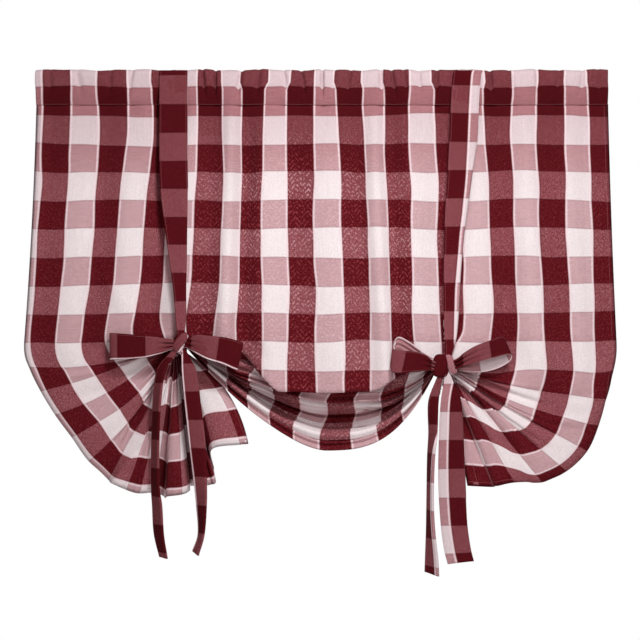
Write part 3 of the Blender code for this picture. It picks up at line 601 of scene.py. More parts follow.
# Creases: from and to (across, down), half width and depth (backwards is positive).
CREASES = np.array([
    (4.9, 1.4, 4.7, 5.5, 9, 2.2), (7.05, 1.4, 7.4, 6.0, 10, 1.6), (8.35, 1.4, 8.5, 5.2, 12, 2.4),
    (2.9, 2.0, 3.4, 8.2, 16, -2.2), (3.6, 2.6, 4.2, 8.2, 13, 2.4), (6.1, 1.4, 6.1, 4.6, 10, 2.2),
    (10.9, 1.4, 11.1, 4.0, 10, 1.6), (13.9, 1.4, 13.6, 4.4, 11, 1.8),
    (16.1, 1.4, 15.9, 7.0, 12, 2.2), (18.3, 1.4, 18.0, 7.5, 12, 2.0),
    (20.6, 1.4, 20.9, 5.0, 12, 1.3), (1.5, 1.4, 1.3, 5.0, 12, 1.2), (12.3, 1.4, 12.4, 3.4, 9, 1.5),
    (17.2, 2.0, 17.1, 8.0, 12, 2.0), (19.6, 5.0, 18.4, 9.0, 14, 1.8), (3.3, 6.2, 5.0, 9.2, 12, 2.2),
    (2.2, 6.8, 4.6, 9.5, 12, -2.0), (6.6, 7.4, 5.9, 9.4, 9, 2.0), (15.6, 7.8, 16.6, 9.9, 9, 2.2),
    (18.8, 7.4, 17.8, 9.9, 10, 2.0), (7.6, 8.6, 9.6, 10.7, 10, 2.0),
    (14.8, 9.0, 13.6, 10.9, 10, 2.0), (6.4, 13.66, 15.9, 13.68, 5, 6.0),
    (6.6, 14.9, 15.6, 15.0, 5, 5.0), (9.2, 14.3, 12.6, 14.0, 6, 6.0),
    (7.4, 15.9, 11.2, 15.6, 6, 6.0), (12.2, 15.7, 14.6, 16.0, 6, 6.0),
    (6.2, 16.14, 16.2, 16.18, 5, 9.0), (12.9, 14.2, 14.6, 15.3, 6, 7.0),
    (8.2, 14.1, 9.8, 15.2, 5, 5.0), (13.4, 13.8, 15.0, 14.4, 6, -5.0),
    (6.4, 16.42, 16.0, 16.42, 6, -4.0), (6.2, 16.72, 16.2, 16.72, 4, 6.0),
    (5.0, 13.2, 3.0, 13.2, 6, 3.0), (5.0, 14.3, 2.4, 14.3, 6, 3.0), (5.0, 15.5, 1.0, 15.5, 6, 4.0),
    (5.0, 16.65, 1.0, 16.65, 5, 3.0), (5.0, 17.6, 0.6, 17.6, 5, 3.0),
    (17.3, 12.3, 20.4, 12.3, 6, 4.5), (17.3, 13.65, 21.0, 13.65, 6, 6.0),
    (17.3, 14.65, 21.4, 14.7, 6, 7.0), (17.3, 14.15, 21.0, 14.2, 7, -3.5),
    (17.3, 15.6, 21.9, 15.65, 6, 7.0), (17.3, 16.65, 22.2, 16.65, 5, 5.0),
    (17.3, 15.1, 21.4, 15.15, 7, -3.0), (17.4, 13.1, 20.6, 13.0, 7, -2.5),
    (17.6, 17.2, 22.4, 17.2, 7, -4.0), (20.2, 12.1, 22.2, 11.4, 9, 2.5),
    (20.6, 12.9, 22.3, 12.5, 9, -2.5), (2.6, 12.6, 0.4, 12.2, 9, 2.5),
    (3.0, 11.6, 0.6, 11.2, 10, -2.5), (4.4, 10.2, 1.2, 9.6, 12, 2.5)])

# How much longer a wavy line is than its base, against how steep its waves are.
STEEP = np.linspace(0.0, 40.0, 401)
STRETCH = np.sqrt(1 + np.outer(STEEP, np.cos(np.linspace(0, math.pi, 91))) ** 2).mean(axis=1)


def creased(across, down):
    """Depth of the creases and of the soft unevenness of pressed cotton."""
    u, v = np.meshgrid(across, down, indexing="ij")
    (a, b), (c, d) = BROAD_TURNS
    depth = BROAD_DEPTH * np.sin(a * u + b * v) * np.sin(c * u + d * v)
    a, b, start = FINE_TURNS
    depth += FINE_DEPTH * np.sin(a * u + b * v + start) * ease(*FINE_ROWS, v)
    for u0, v0, u1, v1, width, deep in CREASES:
        du, dv = u1 - u0, v1 - v0
        share = np.clip(((u - u0) * du + (v - v0) * dv) / (du * du + dv * dv), 0, 1)
        far = np.hypot(u - u0 - share * du, v - v0 - share * dv) * CHECK
        fade = np.sin(math.pi * np.clip(share, CREASE_END, 1 - CREASE_END)) ** CREASE_FADE
        depth += deep * fade * np.exp(-(far / width) ** 2)
    return depth


def pinched(x, tight=1.0, crest=0.0):
    """Depth of the heading's pinches at each x; with a crest, one side of each stands up."""
    depth = 0
    for at, deep, width in PINCHES:
        off = (x - at) / (tight * width)
        depth = depth + deep * np.exp(-off ** 2) * (1 - crest * off)
    return depth


def gathers(points, across, down):
    """Pleats that take up the cloth wherever the drape runs closer than the cloth is long."""
    steps = np.linalg.norm(np.diff(points, axis=1), axis=-1)
    length = np.concatenate([np.zeros((len(across), 1)), np.cumsum(steps, axis=1)], axis=1)
    near = np.clip(down - GATHER_REACH, down[0], down[-1])
    far = np.clip(down + GATHER_REACH, down[0], down[-1])
    room = np.array([np.interp(far, down, run) - np.interp(near, down, run) for run in length])
    room = np.maximum(room / ((far - near) * CHECK), LEAST_ROOM)
    steep = np.interp(np.clip(TAKEN_UP / room, 1.0, MOST_GATHERED), STRETCH, STEEP)
    tall = steep * room * CHECK / (2 * math.pi * PLEATS) * ease(*PLEATS_GROW, down)
    u, v = np.meshgrid(across, down, indexing="ij")
    fanned = np.maximum(ease(*PLEATS_WEAK_LEFT, u), ease(*PLEATS_WEAK_RIGHT, u))
    hidden = ease(*PLEATS_HIDDEN[0], v) * ease(*PLEATS_HIDDEN[1], v)
    tall = tall * (1 - PLEATS_WEAK * fanned * (1 - hidden))
    (a, b), (c, d) = PLEAT_WANDER
    wave = 1 - np.cos(2 * math.pi * PLEATS * v + a * np.sin(b * v) + c * np.sin(d * u))
    in_swag = ease(*PLEATS_SWAG_LEFT, u) * ease(*PLEATS_SWAG_RIGHT, u)
    out = np.zeros_like(points)
    out[..., 1] = tall * wave * (1 - 2 * in_swag * ease(*PLEATS_BACK, v))
    return out


def room_side(points):
    """Unit normals on the room side of a grid of points laid across, then down."""
    normal = np.cross(np.gradient(points, axis=1), np.gradient(points, axis=0))
    return normal / np.maximum(np.linalg.norm(normal, axis=-1, keepdims=True), 1e-9)


def cloth_mesh(name, points, across, down, around=False, caps=()):
    """A sheet from a grid of points, with its place on the cloth, in checks, as its UV map."""
    long, wide = points.shape[:2]
    index = np.arange(long * wide).reshape(long, wide)
    if around:
        index = np.concatenate([index, index[:, :1]], axis=1)
    here, after = slice(None, -1), slice(1, None)
    corners = [(here, here), (here, after), (after, after), (after, here)]
    faces = np.stack([index[corner] for corner in corners], -1).reshape(-1, 4).tolist()
    u = np.stack([across[corner] for corner in corners], -1).ravel()
    v = np.stack([down[corner] for corner in corners], -1).ravel()
    for cap in caps:
        faces.append([int(index[i, j]) for i, j in cap])
        u = np.append(u, [across[i, j] for i, j in cap])
        v = np.append(v, [down[i, j] for i, j in cap])
    mesh = bpy.data.meshes.new(name)
    mesh.from_pydata((points.reshape(-1, 3) * MM).tolist(), [], faces)
    mesh.uv_layers.new(name=CLOTH_MAP).data.foreach_set("uv", np.stack([u, v], -1).ravel())
    mesh.shade_smooth()
    obj = bpy.data.objects.new(name, mesh)
    bpy.context.scene.collection.objects.link(obj)
    return obj


def made_plain(obj):
    """Turns what the object's modifiers make into its own mesh."""
    graph = bpy.context.evaluated_depsgraph_get()
    mesh = bpy.data.meshes.new_from_object(
        obj.evaluated_get(graph), preserve_all_data_layers=True, depsgraph=graph)
    obj.modifiers.clear()
    obj.data = mesh


def thickened(obj, thickness):
    shell = obj.modifiers.new("cloth thickness", "SOLIDIFY")
    shell.thickness = thickness * MM
    shell.offset = 0.0
    shell.use_even_offset = False
    made_plain(obj)
    return obj


def faces_outward(obj):
    cage = bmesh.new()
    cage.from_mesh(obj.data)
    bmesh.ops.recalc_face_normals(cage, faces=cage.faces)
    cage.to_mesh(obj.data)
    cage.free()


def turned_edge(points, normals, places, last, width):
    """Folds a hem to the back of the first or last line of a grid, `width` checks deep."""
    edge, away = (places[-1], 1.0) if last else (places[0], -1.0)
    lines, marks = [], []
    for step in width * np.linspace(0, 1, HEM_ROWS + 1)[1:]:
        mirror = edge - away * step
        i = int(np.clip(np.searchsorted(places, mirror) - 1, 0, len(places) - 2))
        t = (mirror - places[i]) / (places[i + 1] - places[i])
        flat = points[i] * (1 - t) + points[i + 1] * t
        out = normals[i] * (1 - t) + normals[i + 1] * t
        lines.append(flat - out * HEM_GAP * ease(0, width * HEM_TURN, step))
        marks.append(edge + away * step)
    if last:
        return np.concatenate([points, lines]), np.concatenate([places, marks])
    return np.concatenate([lines[::-1], points]), np.concatenate([marks[::-1], places])


def panel_lines():
    """The cloth's own lines across and down."""
    return [np.concatenate([np.linspace(*run) for run in runs]) for runs in (ACROSS_RUNS, DOWN_RUNS)]


def make_panel():
    across, down = panel_lines()
    points = panel_surface(across, down)
    points = points + gathers(points, across, down)
    pinch = PINCH_ON_PANEL * pinched(points[:, 0, 0])
    depth = creased(across, down) + np.outer(pinch, ease(*PINCH_PANEL_ROWS, down))
    quiet = ease(ACROSS_START, ACROSS_START + QUIET_EDGE, across)
    quiet = quiet * ease(ACROSS_END, ACROSS_END - QUIET_EDGE, across)
    points = points - room_side(points) * (depth * quiet[:, None])[..., None]
    out = room_side(points) * 0.5 * CLOTH
    seams = [points[1] + out[1], points[-2] + out[-2], points[:, -3] + out[:, -3]]
    points, across = turned_edge(points, room_side(points), across, False, SIDE_HEM / CHECK)
    points, across = turned_edge(points, room_side(points), across, True, SIDE_HEM / CHECK)
    by_row, towards_room = points.swapaxes(0, 1), room_side(points).swapaxes(0, 1)
    by_row, down = turned_edge(by_row, towards_room, down, True, BOTTOM_HEM / CHECK)
    u, v = np.meshgrid(across, down, indexing="ij")
    panel = thickened(cloth_mesh("hung_panel", by_row.swapaxes(0, 1), u, v), CLOTH)
    return panel, seams


def make_pocket():
    """The heading's sleeve, starting and ending at its seam, with the pinches of its gathers."""
    across = np.linspace(ACROSS_START, ACROSS_END, POCKET_COLUMNS)
    turns = 1.5 * math.pi - np.linspace(0, 2 * math.pi, POCKET_AROUND + 1)[:-1]
    points = pocket_surface(across, turns)
    aside = through(HEADING_WARPS, 1, across) - through(WARPS, 1, across)
    drawn = np.zeros((len(across), len(turns) + 1))
    for j, turn in enumerate(turns):
        height = -points[:, j, 2]
        points[:, j, 0] += aside * ease(*HEADING_STRAIGHT, height)
        leaning = PINCH_LEAN * np.sin(points[:, j, 0] / PINCH_LEAN_WAVE)
        leaning = leaning * (height - POCKET_ROUND) / PINCH_LEAN_HEIGHT
        pinch = PINCH_DEEPER * pinched(points[:, j, 0] + leaning, PINCH_TIGHT, PINCH_CREST)
        pinch = pinch * ease(*PINCH_HEIGHTS, height)
        drawn[:, j] = PINCH_DRAWN * pinch * max(math.cos(turn), 0.0)
        points[:, j, 1] += pinch * math.cos(turn)
        points[:, j, 2] -= PINCH_SINKS * pinch * max(math.sin(turn), 0.0)
    ring = np.concatenate([points, points[:, :1]], axis=1)
    step = np.linalg.norm(np.diff(ring, axis=1), axis=-1).mean(axis=0) / CHECK
    laid = np.concatenate([np.cumsum(step[::-1])[::-1], [0.0]])
    flat = laid < HEADING_FLAT / CHECK
    height = np.append(points[:, :, 2].mean(axis=0), points[:, 0, 2].mean())
    upright = 1 + height / POCKET_DEEP
    spare = (laid[flat] - upright[flat] * POCKET_DEEP / CHECK).max()
    laid = np.where(flat, upright * POCKET_DEEP / CHECK, laid - spare)
    down = POCKET_DEEP / CHECK - laid
    u, v = np.meshgrid(across, down, indexing="ij")
    pocket = thickened(cloth_mesh("heading_sleeve", points, u, v - drawn, around=True), CLOTH)
    seams = []
    for side in (-1, 1):
        seam = points[:, side * SEAM_COLUMN].copy()
        seam[:, 1] += side * (0.5 * CLOTH + STITCH_STANDS)
        seams.append(seam)
    return pocket, seams


def pocket_surface(across, around):
    """A sleeve, round over the rod's place and flat down to its stitching."""
    middle = hanging(across, np.array([POCKET_DEEP / CHECK]))[:, 0]
    puff = sum(tall * np.sin(turns * across + start) for tall, turns, start in POCKET_PUFFS)
    top = -POCKET_ROUND - POCKET_DROP
    out = np.zeros((len(across), len(around), 3))
    for j, turn in enumerate(around):
        side = math.cos(turn)
        low = max(-math.sin(turn), 0.0)
        half = POCKET_ROUND * (1 - low ** (POCKET_FALL * POCKET_TAPER)) + POCKET_SEAM * low
        round_y = -(POCKET_ROUND + puff * math.sin(turn)) * side
        round_z = top + (POCKET_ROUND + puff) * math.sin(turn)
        upper = math.sin(turn) >= 0
        out[:, j, 0] = middle[:, 0] + POCKET_SWAY * np.sin(POCKET_SWAY_TURNS * across + turn)
        out[:, j, 1] = round_y if upper else -math.copysign(half, side) + middle[:, 1] * low
        out[:, j, 2] = round_z if upper else top - (POCKET_DEEP + top) * low ** POCKET_FALL
    return out


# Per strip: pleats it is drawn into at its knot (none: folded behind itself), the cloth's place
# at its first end in checks down, and how far its maroon face is turned round the edge, at even
# steps along it.
STRIP_LOOKS = dict(
    left_front_strap=(0, -0.54, (0.02, 0.02)),
    right_front_strap=(0, -0.90, (0.33, 0.35, 0.39, 0.59, 0.70)),
    left_back_strap=(0, -0.54, (0.0, 0.0)), right_back_strap=(0, -0.90, (0.0, 0.0)),
    left_bow_outer_loop=(3, -0.43, (0.06, 0.06)), left_bow_inner_loop=(3, -0.65, (0.06, 0.06)),
    right_bow_inner_loop=(3, 0.30, (0.0, 0.0)), right_bow_outer_loop=(3, -0.92, (0.0, 0.0)),
    left_bow_outer_tail=(0, 0.2, (0.0, 0.0)), left_bow_inner_tail=(0, 1.08, (-0.08, -0.08)),
    right_bow_inner_tail=(0, -0.32, (0.45, 0.45)), right_bow_outer_tail=(0, 0.2, (-0.35, -0.35)))


def strip_section(face, pleats):
    """Shares of the width, and their places along the face and behind it."""
    seen = min(face / CHECK, SEEN_MOST)
    shares = np.concatenate([np.linspace(0, seen, SEEN_LINES), np.linspace(seen, 1, TUCKED_LINES)[1:]])
    shares = np.sort(np.concatenate([shares, RIM_LINES]))
    if pleats:
        steep = np.interp(CHECK / face, STRETCH, STEEP)
        tall = steep * face / (2 * math.pi * pleats) * ease(WIDE_LOOP, NARROW_LOOP, face)
        return shares, shares * face, tall * np.sin(2 * math.pi * pleats * shares + LOOP_START)
    turns = shares * CHECK / face
    along = face * (1 - np.abs(np.mod(turns, 2) - 1))
    bend = FOLD_TURN / face
    behind = sum(FOLD_GAP * ease(k - bend, k + bend, turns) for k in range(1, FOLD_MOST + 1))
    return shares, along, behind


def strip_points(rows, pleats):
    """The doubled strip as rings of points, and the shares across and lengths along it."""
    table = np.column_stack([np.arange(len(rows)), np.array(rows, float)])
    at = np.linspace(0, len(rows) - 1, STRIP_SMOOTH * len(rows))
    first = np.stack([through(table, k, at) for k in (1, 2, 3)], -1)
    second = np.stack([through(table, k, at) for k in (4, 5, 6)], -1)
    middle = (first + second) / 2
    length = np.concatenate([[0], np.cumsum(np.linalg.norm(np.diff(middle, axis=0), axis=1))])
    ahead = np.gradient(middle, axis=0)
    side = second - first
    face = np.linalg.norm(side, axis=1)
    side = side / face[:, None]
    back = np.cross(side, ahead)
    back = back / np.linalg.norm(back, axis=1, keepdims=True)
    back = back * math.copysign(1.0, back[:4, 1].sum())
    rings, shares = [], []
    for i in range(len(at)):
        share, along, behind = strip_section(min(face[i], CHECK), pleats)
        centre = first[i] + np.outer(along, side[i]) + np.outer(behind, back[i])
        run = np.stack([np.gradient(along), np.gradient(behind)], -1)
        run = run / np.maximum(np.linalg.norm(run, axis=1, keepdims=True), 1e-9)
        out = np.outer(run[:, 1], side[i]) - np.outer(run[:, 0], back[i])
        edge = np.minimum(share, 1 - share) * CHECK
        half = 0.5 * TIE_THICK * np.sqrt(np.clip(1 - (1 - edge / EDGE_ROUND).clip(0) ** 2, 0, 1))
        half = half * (1 - STITCH_PULLED * np.exp(-((edge - TOP_STITCH) / STITCH_GROOVE) ** 2))
        front = centre + out * half[:, None]
        rear = centre - out * half[:, None]
        rings.append(np.concatenate([front, rear[-2:0:-1]]))
        shares.append(np.concatenate([share, 2 - share[-2:0:-1], [2.0]]))
    return np.array(rings), np.array(shares), length


def make_strip(name, rows, look):
    """One piece of a tie, and the lines of its top-stitching."""
    pleats, start, turned = look
    rings, shares, length = strip_points(rows, pleats)
    half = rings.shape[1] // 2
    caps = []
    for i in (0, len(rings) - 1):
        for j in range(half):
            corner = [(i, j), (i, j + 1), (i, 2 * half - j - 1), (i, (2 * half - j) % (2 * half))]
            caps.append(list(dict.fromkeys(corner)))
    down = np.repeat((start + length / CHECK)[:, None], shares.shape[1], axis=1)
    turn = np.interp(length / length[-1], np.linspace(0, 1, len(turned)), turned)
    strip = cloth_mesh(name, rings, shares + turn[:, None], down, around=True, caps=caps)
    faces_outward(strip)
    seams = []
    for inset in (TOP_STITCH / CHECK, 1 - TOP_STITCH / CHECK):
        for face_inset in (inset, 2 - inset):
            ring = np.concatenate([rings, rings[:, :1]], axis=1)
            seams.append(np.array([
                [np.interp(face_inset, shares[i], ring[i, :, k]) for k in range(3)]
                for i in range(len(ring))]))
    return strip, seams, length[-1]


# Each lobe of a knot: middle, half sizes, lean in degrees, the cloth's place across at its left
# and right and down at its top and bottom, and how many creases run along it.
KNOT_LOBES = dict(
    left_knot=[
        dict(at=(-254, -16.5, -492), half=(10, 8.5, 19),
             lean=32, across=(0.0, 1.12), down=(1.8, 2.5), creases=5),
        dict(at=(-250, -13.5, -488), half=(13, 7.0, 14),
             lean=-30, across=(0.1, 0.9), down=(0.9, 1.5), creases=6)],
    right_knot=[
        dict(at=(213, -16.0, -534), half=(15, 9.0, 21),
             lean=6, across=(0.1, 0.95), down=(0.8, 1.5), creases=6),
        dict(at=(231, -15.5, -531), half=(8, 8.5, 19),
             lean=-22, across=(1.05, 1.6), down=(0.8, 1.5), creases=5)])


def knot_lobe(half, lean, creases):
    """Rings of points round a band of cloth drawn tight, creased along its length."""
    tilt = math.radians(lean)
    up = np.linspace(KNOT_END, math.pi - KNOT_END, KNOT_RINGS)[:, None]
    turn = np.linspace(0, 2 * math.pi, KNOT_AROUND + 1)[None, :-1]
    size = np.sin(up) ** KNOT_FULL
    groove = (1 - np.abs(np.sin(0.5 * creases * turn + KNOT_TWIST * up))) ** KNOT_SHARP
    crease = KNOT_SWELL - KNOT_CREASE * groove * np.sin(up)
    wrap = 1 + KNOT_WRAP * np.sin(3 * up + 2 * turn)
    x = half[0] * size * crease * wrap * np.cos(turn)
    y = half[1] * size * crease * np.sin(turn)
    z = half[2] * np.cos(up) + 0 * turn
    x, z = x * math.cos(tilt) + z * math.sin(tilt), z * math.cos(tilt) - x * math.sin(tilt)
    return np.stack([x, y, z], -1)


def make_knot(name, lobes):
    """A knot: its lobes, one closed body each, joined into one piece."""
    made = []
    for number, lobe in enumerate(lobes):
        points = knot_lobe(lobe["half"], lobe["lean"], lobe["creases"]) + np.array(lobe["at"], float)
        rings, around = points.shape[:2]
        turn = np.linspace(0, 2 * math.pi, around + 1)
        left, right = lobe["across"]
        top, bottom = lobe["down"]
        u = np.repeat((left + (right - left) * (0.5 + 0.5 * np.cos(turn)))[None, :], rings, axis=0)
        v = np.repeat(np.linspace(top, bottom, rings)[:, None], around + 1, axis=1)
        caps = [[(i, j) for j in range(around)] for i in (0, rings - 1)]
        made.append(cloth_mesh(f"{name}_{number}", points, u, v, around=True, caps=caps))
        faces_outward(made[-1])
    knot = bpy.data.objects.new(name, joined_mesh(name, [piece.data for piece in made]))
    bpy.context.scene.collection.objects.link(knot)
    for piece in made:
        bpy.data.objects.remove(piece, do_unlink=True)
    return knot


def joined_mesh(name, meshes):
    cage = bmesh.new()
    for mesh in meshes:
        cage.from_mesh(mesh)
    whole = bpy.data.meshes.new(name)
    cage.to_mesh(whole)
    cage.free()
    whole.shade_smooth()
    return whole


def stitch_tree():
    """Lays short threads end to end along a seam line."""
    tree = bpy.data.node_groups.new("seam stitches", "GeometryNodeTree")
    for label, kind, value in (
            ("Seam", "Geometry", None), ("Stitch pitch", "Float", STITCH_PITCH * MM),
            ("Stitch length", "Float", STITCH_LONG * MM),
            ("Thread radius", "Float", THREAD_ROUND * MM), ("Thread", "Material", None)):
        socket = tree.interface.new_socket(label, in_out="INPUT", socket_type="NodeSocket" + kind)
        if value is not None:
            socket.default_value = value
    tree.interface.new_socket("Stitches", in_out="OUTPUT", socket_type="NodeSocketGeometry")
    given = add_node(tree, "NodeGroupInput").outputs
    curve = add_node(tree, "GeometryNodeMeshToCurve", {"Mesh": given["Seam"]})
    spaced = add_node(tree, "GeometryNodeResampleCurve", mode="LENGTH", inputs={
        "Curve": curve.outputs["Curve"], "Length": given["Stitch pitch"]})
    along = add_node(tree, "GeometryNodeInputTangent")
    aligned = add_node(tree, "FunctionNodeAlignRotationToVector", {"Vector": along.outputs[0]}, axis="Z")
    size = add_node(tree, "ShaderNodeCombineXYZ", {
        "X": given["Thread radius"], "Y": given["Thread radius"],
        "Z": sum_node(tree, "MULTIPLY", given["Stitch length"], 0.5)})
    thread = add_node(tree, "GeometryNodeMeshIcoSphere", {"Radius": 1.0, "Subdivisions": 1})
    laid = add_node(tree, "GeometryNodeInstanceOnPoints", {
        "Points": spaced.outputs["Curve"], "Instance": thread.outputs["Mesh"],
        "Rotation": aligned.outputs["Rotation"], "Scale": size.outputs[0]})
    real = add_node(tree, "GeometryNodeRealizeInstances", {"Geometry": laid.outputs["Instances"]})
    finish = add_node(tree, "GeometryNodeSetMaterial", {
        "Geometry": real.outputs[0], "Material": given["Thread"]})
    add_node(tree, "NodeGroupOutput", {0: finish.outputs[0]})
    return tree


def stitching(name, seams, tree, thread):
    """The stitches of all of one piece's seam lines, as one plain mesh."""
    points = np.concatenate(seams) * MM
    edges, first = [], 0
    for seam in seams:
        edges += [(first + i, first + i + 1) for i in range(len(seam) - 1)]
        first += len(seam)
    mesh = bpy.data.meshes.new(name)
    mesh.from_pydata(points.tolist(), edges, [])
    obj = bpy.data.objects.new(name, mesh)
    bpy.context.scene.collection.objects.link(obj)
    sewn = obj.modifiers.new("stitches", "NODES")
    sewn.node_group = tree
    slots = {item.name: item.identifier for item in tree.interface.items_tree if item.in_out == "INPUT"}
    sewn[slots["Thread"]] = thread
    made_plain(obj)
    obj.data.shade_smooth()
    return obj


# Each check by what crosses in it: the colours of its warp, of its weft and of its flecks.
HUNG_DYES = dict(
    dark=((0.094, 0.0040, 0.0078), (0.119, 0.0066, 0.0112), (0.38, 0.066, 0.080)),
    half=((0.174, 0.0195, 0.0275), (0.446, 0.168, 0.190), (0.73, 0.41, 0.43)),
    pink=((0.670, 0.460, 0.480), (0.395, 0.155, 0.175), (0.72, 0.51, 0.54)),
    white=((0.905, 0.825, 0.833), (0.860, 0.770, 0.780), (0.92, 0.86, 0.87)))
# Painted shade: the same checks darker and deeper, standing in for dimmer light towards the heading's
# top. The ties and knots take a share of it too.
PAINTED_SHADE_DYES = dict(
    dark=((0.070, 0.0038, 0.0062), (0.092, 0.0064, 0.0100), (0.125, 0.013, 0.019)),
    half=((0.147, 0.0165, 0.0220), (0.290, 0.118, 0.132), (0.36, 0.16, 0.175)),
    pink=((0.446, 0.194, 0.212), (0.222, 0.067, 0.078), (0.49, 0.27, 0.29)),
    white=((0.700, 0.565, 0.585), (0.640, 0.500, 0.525), (0.71, 0.59, 0.61)))
PALE_BORDER = (0.93, 0.74, 0.77)
THREAD_DYES = ((0.33, 0.09, 0.11), (0.46, 0.18, 0.20), (0.5, 0.2, 0.22))
SHEEN_TINT = (0.95, 0.82, 0.84, 1.0)


def add_node(tree, kind, inputs=(), **settings):
    made = tree.nodes.new(kind)
    for name, value in settings.items():
        setattr(made, name, value)
    for key, value in dict(inputs).items():
        if isinstance(value, bpy.types.NodeSocket):
            tree.links.new(value, made.inputs[key])
        else:
            made.inputs[key].default_value = value
    return made


def sum_node(tree, operation, *values):
    return add_node(tree, "ShaderNodeMath", dict(enumerate(values)), operation=operation).outputs[0]


def noise(tree, place, scale, detail=1.0, **more):
    inputs = {"Vector": place, "Scale": scale, "Detail": detail, **more}
    return add_node(tree, "ShaderNodeTexNoise", inputs).outputs[0]


def mix_colours(tree, share, first, second, blend="MIX"):
    inputs = {0: share, 6: first, 7: second}
    for key in (6, 7):
        if isinstance(inputs[key], tuple):
            inputs[key] = (*inputs[key], 1.0)
    return add_node(tree, "ShaderNodeMix", inputs, data_type="RGBA", blend_type=blend).outputs[2]


def from_middle(tree, place):
    """Distance in checks from the middle of the nearest maroon stripe: its border is at 0.5."""
    return sum_node(tree, "PINGPONG", sum_node(tree, "SUBTRACT", place, 0.5), 1.0)


def fading(tree, value, full, none):
    """1 up to the first value and 0 past the second, eased between them."""
    inputs = {"Value": value, "From Min": full, "From Max": none, "To Min": 1.0, "To Max": 0.0}
    return add_node(tree, "ShaderNodeMapRange", inputs, interpolation_type="SMOOTHSTEP").outputs[0]


def border_line(tree, distance, place, half, strength=1.0):
    """A fine line beside a stripe's border, as strong as said in its middle and 0 off it."""
    away = sum_node(tree, "ABSOLUTE", sum_node(tree, "SUBTRACT", distance, 0.5 + place * BORDER))
    half = half * BORDER
    return sum_node(tree, "MULTIPLY", fading(tree, away, 0.2 * half, half), strength)


def chevrons(tree, across, down, place):
    """Broken zigzag flecks, where the twill turns back on itself and lets the paler yarn through."""
    zigzag = sum_node(tree, "PINGPONG", across, CHEVRON_WIDE)
    phase = sum_node(tree, "MULTIPLY_ADD", zigzag, CHEVRON_SLOPE, down)
    line = sum_node(tree, "PINGPONG", sum_node(tree, "DIVIDE", phase, CHEVRON_TALL), 0.5)
    grain = noise(tree, place, 260.0, 1.5)
    whole = sum_node(tree, "SUBTRACT", 1.0, fading(tree, grain, *FLECK_GRAIN))
    from_centre = sum_node(tree, "ABSOLUTE", sum_node(tree, "SUBTRACT", across, FLECK_MIDDLE))
    central = spread(tree, fading(tree, from_centre, *FLECK_SIDES), *FLECK_CENTRAL)
    region = spread(tree, noise(tree, place, 7.0), *FLECK_PATCHY)
    below = spread(tree, fading(tree, down, *FLECK_ROWS), *FLECK_AT_TOP)
    strong = sum_node(tree, "MULTIPLY", sum_node(tree, "MULTIPLY", region, central), below)
    flecks = sum_node(tree, "MULTIPLY", fading(tree, line, *CHEVRON_LINE), whole)
    return sum_node(tree, "MULTIPLY", flecks, strong)


def spread(tree, value, low, high):
    inputs = {"Value": value, "To Min": low, "To Max": high}
    return add_node(tree, "ShaderNodeMapRange", inputs).outputs[0]


def crossed(tree, warp, weft, painted_shade, yarn):
    """One yarn's colour in each of the four checks, darkened by painted shade towards the heading."""
    mixed = []
    for dyes in (HUNG_DYES, PAINTED_SHADE_DYES):
        light = mix_colours(tree, warp, dyes["white"][yarn], dyes["half"][yarn])
        dark = mix_colours(tree, warp, dyes["pink"][yarn], dyes["dark"][yarn])
        mixed.append(mix_colours(tree, weft, light, dark))
    return mix_colours(tree, painted_shade, *mixed)


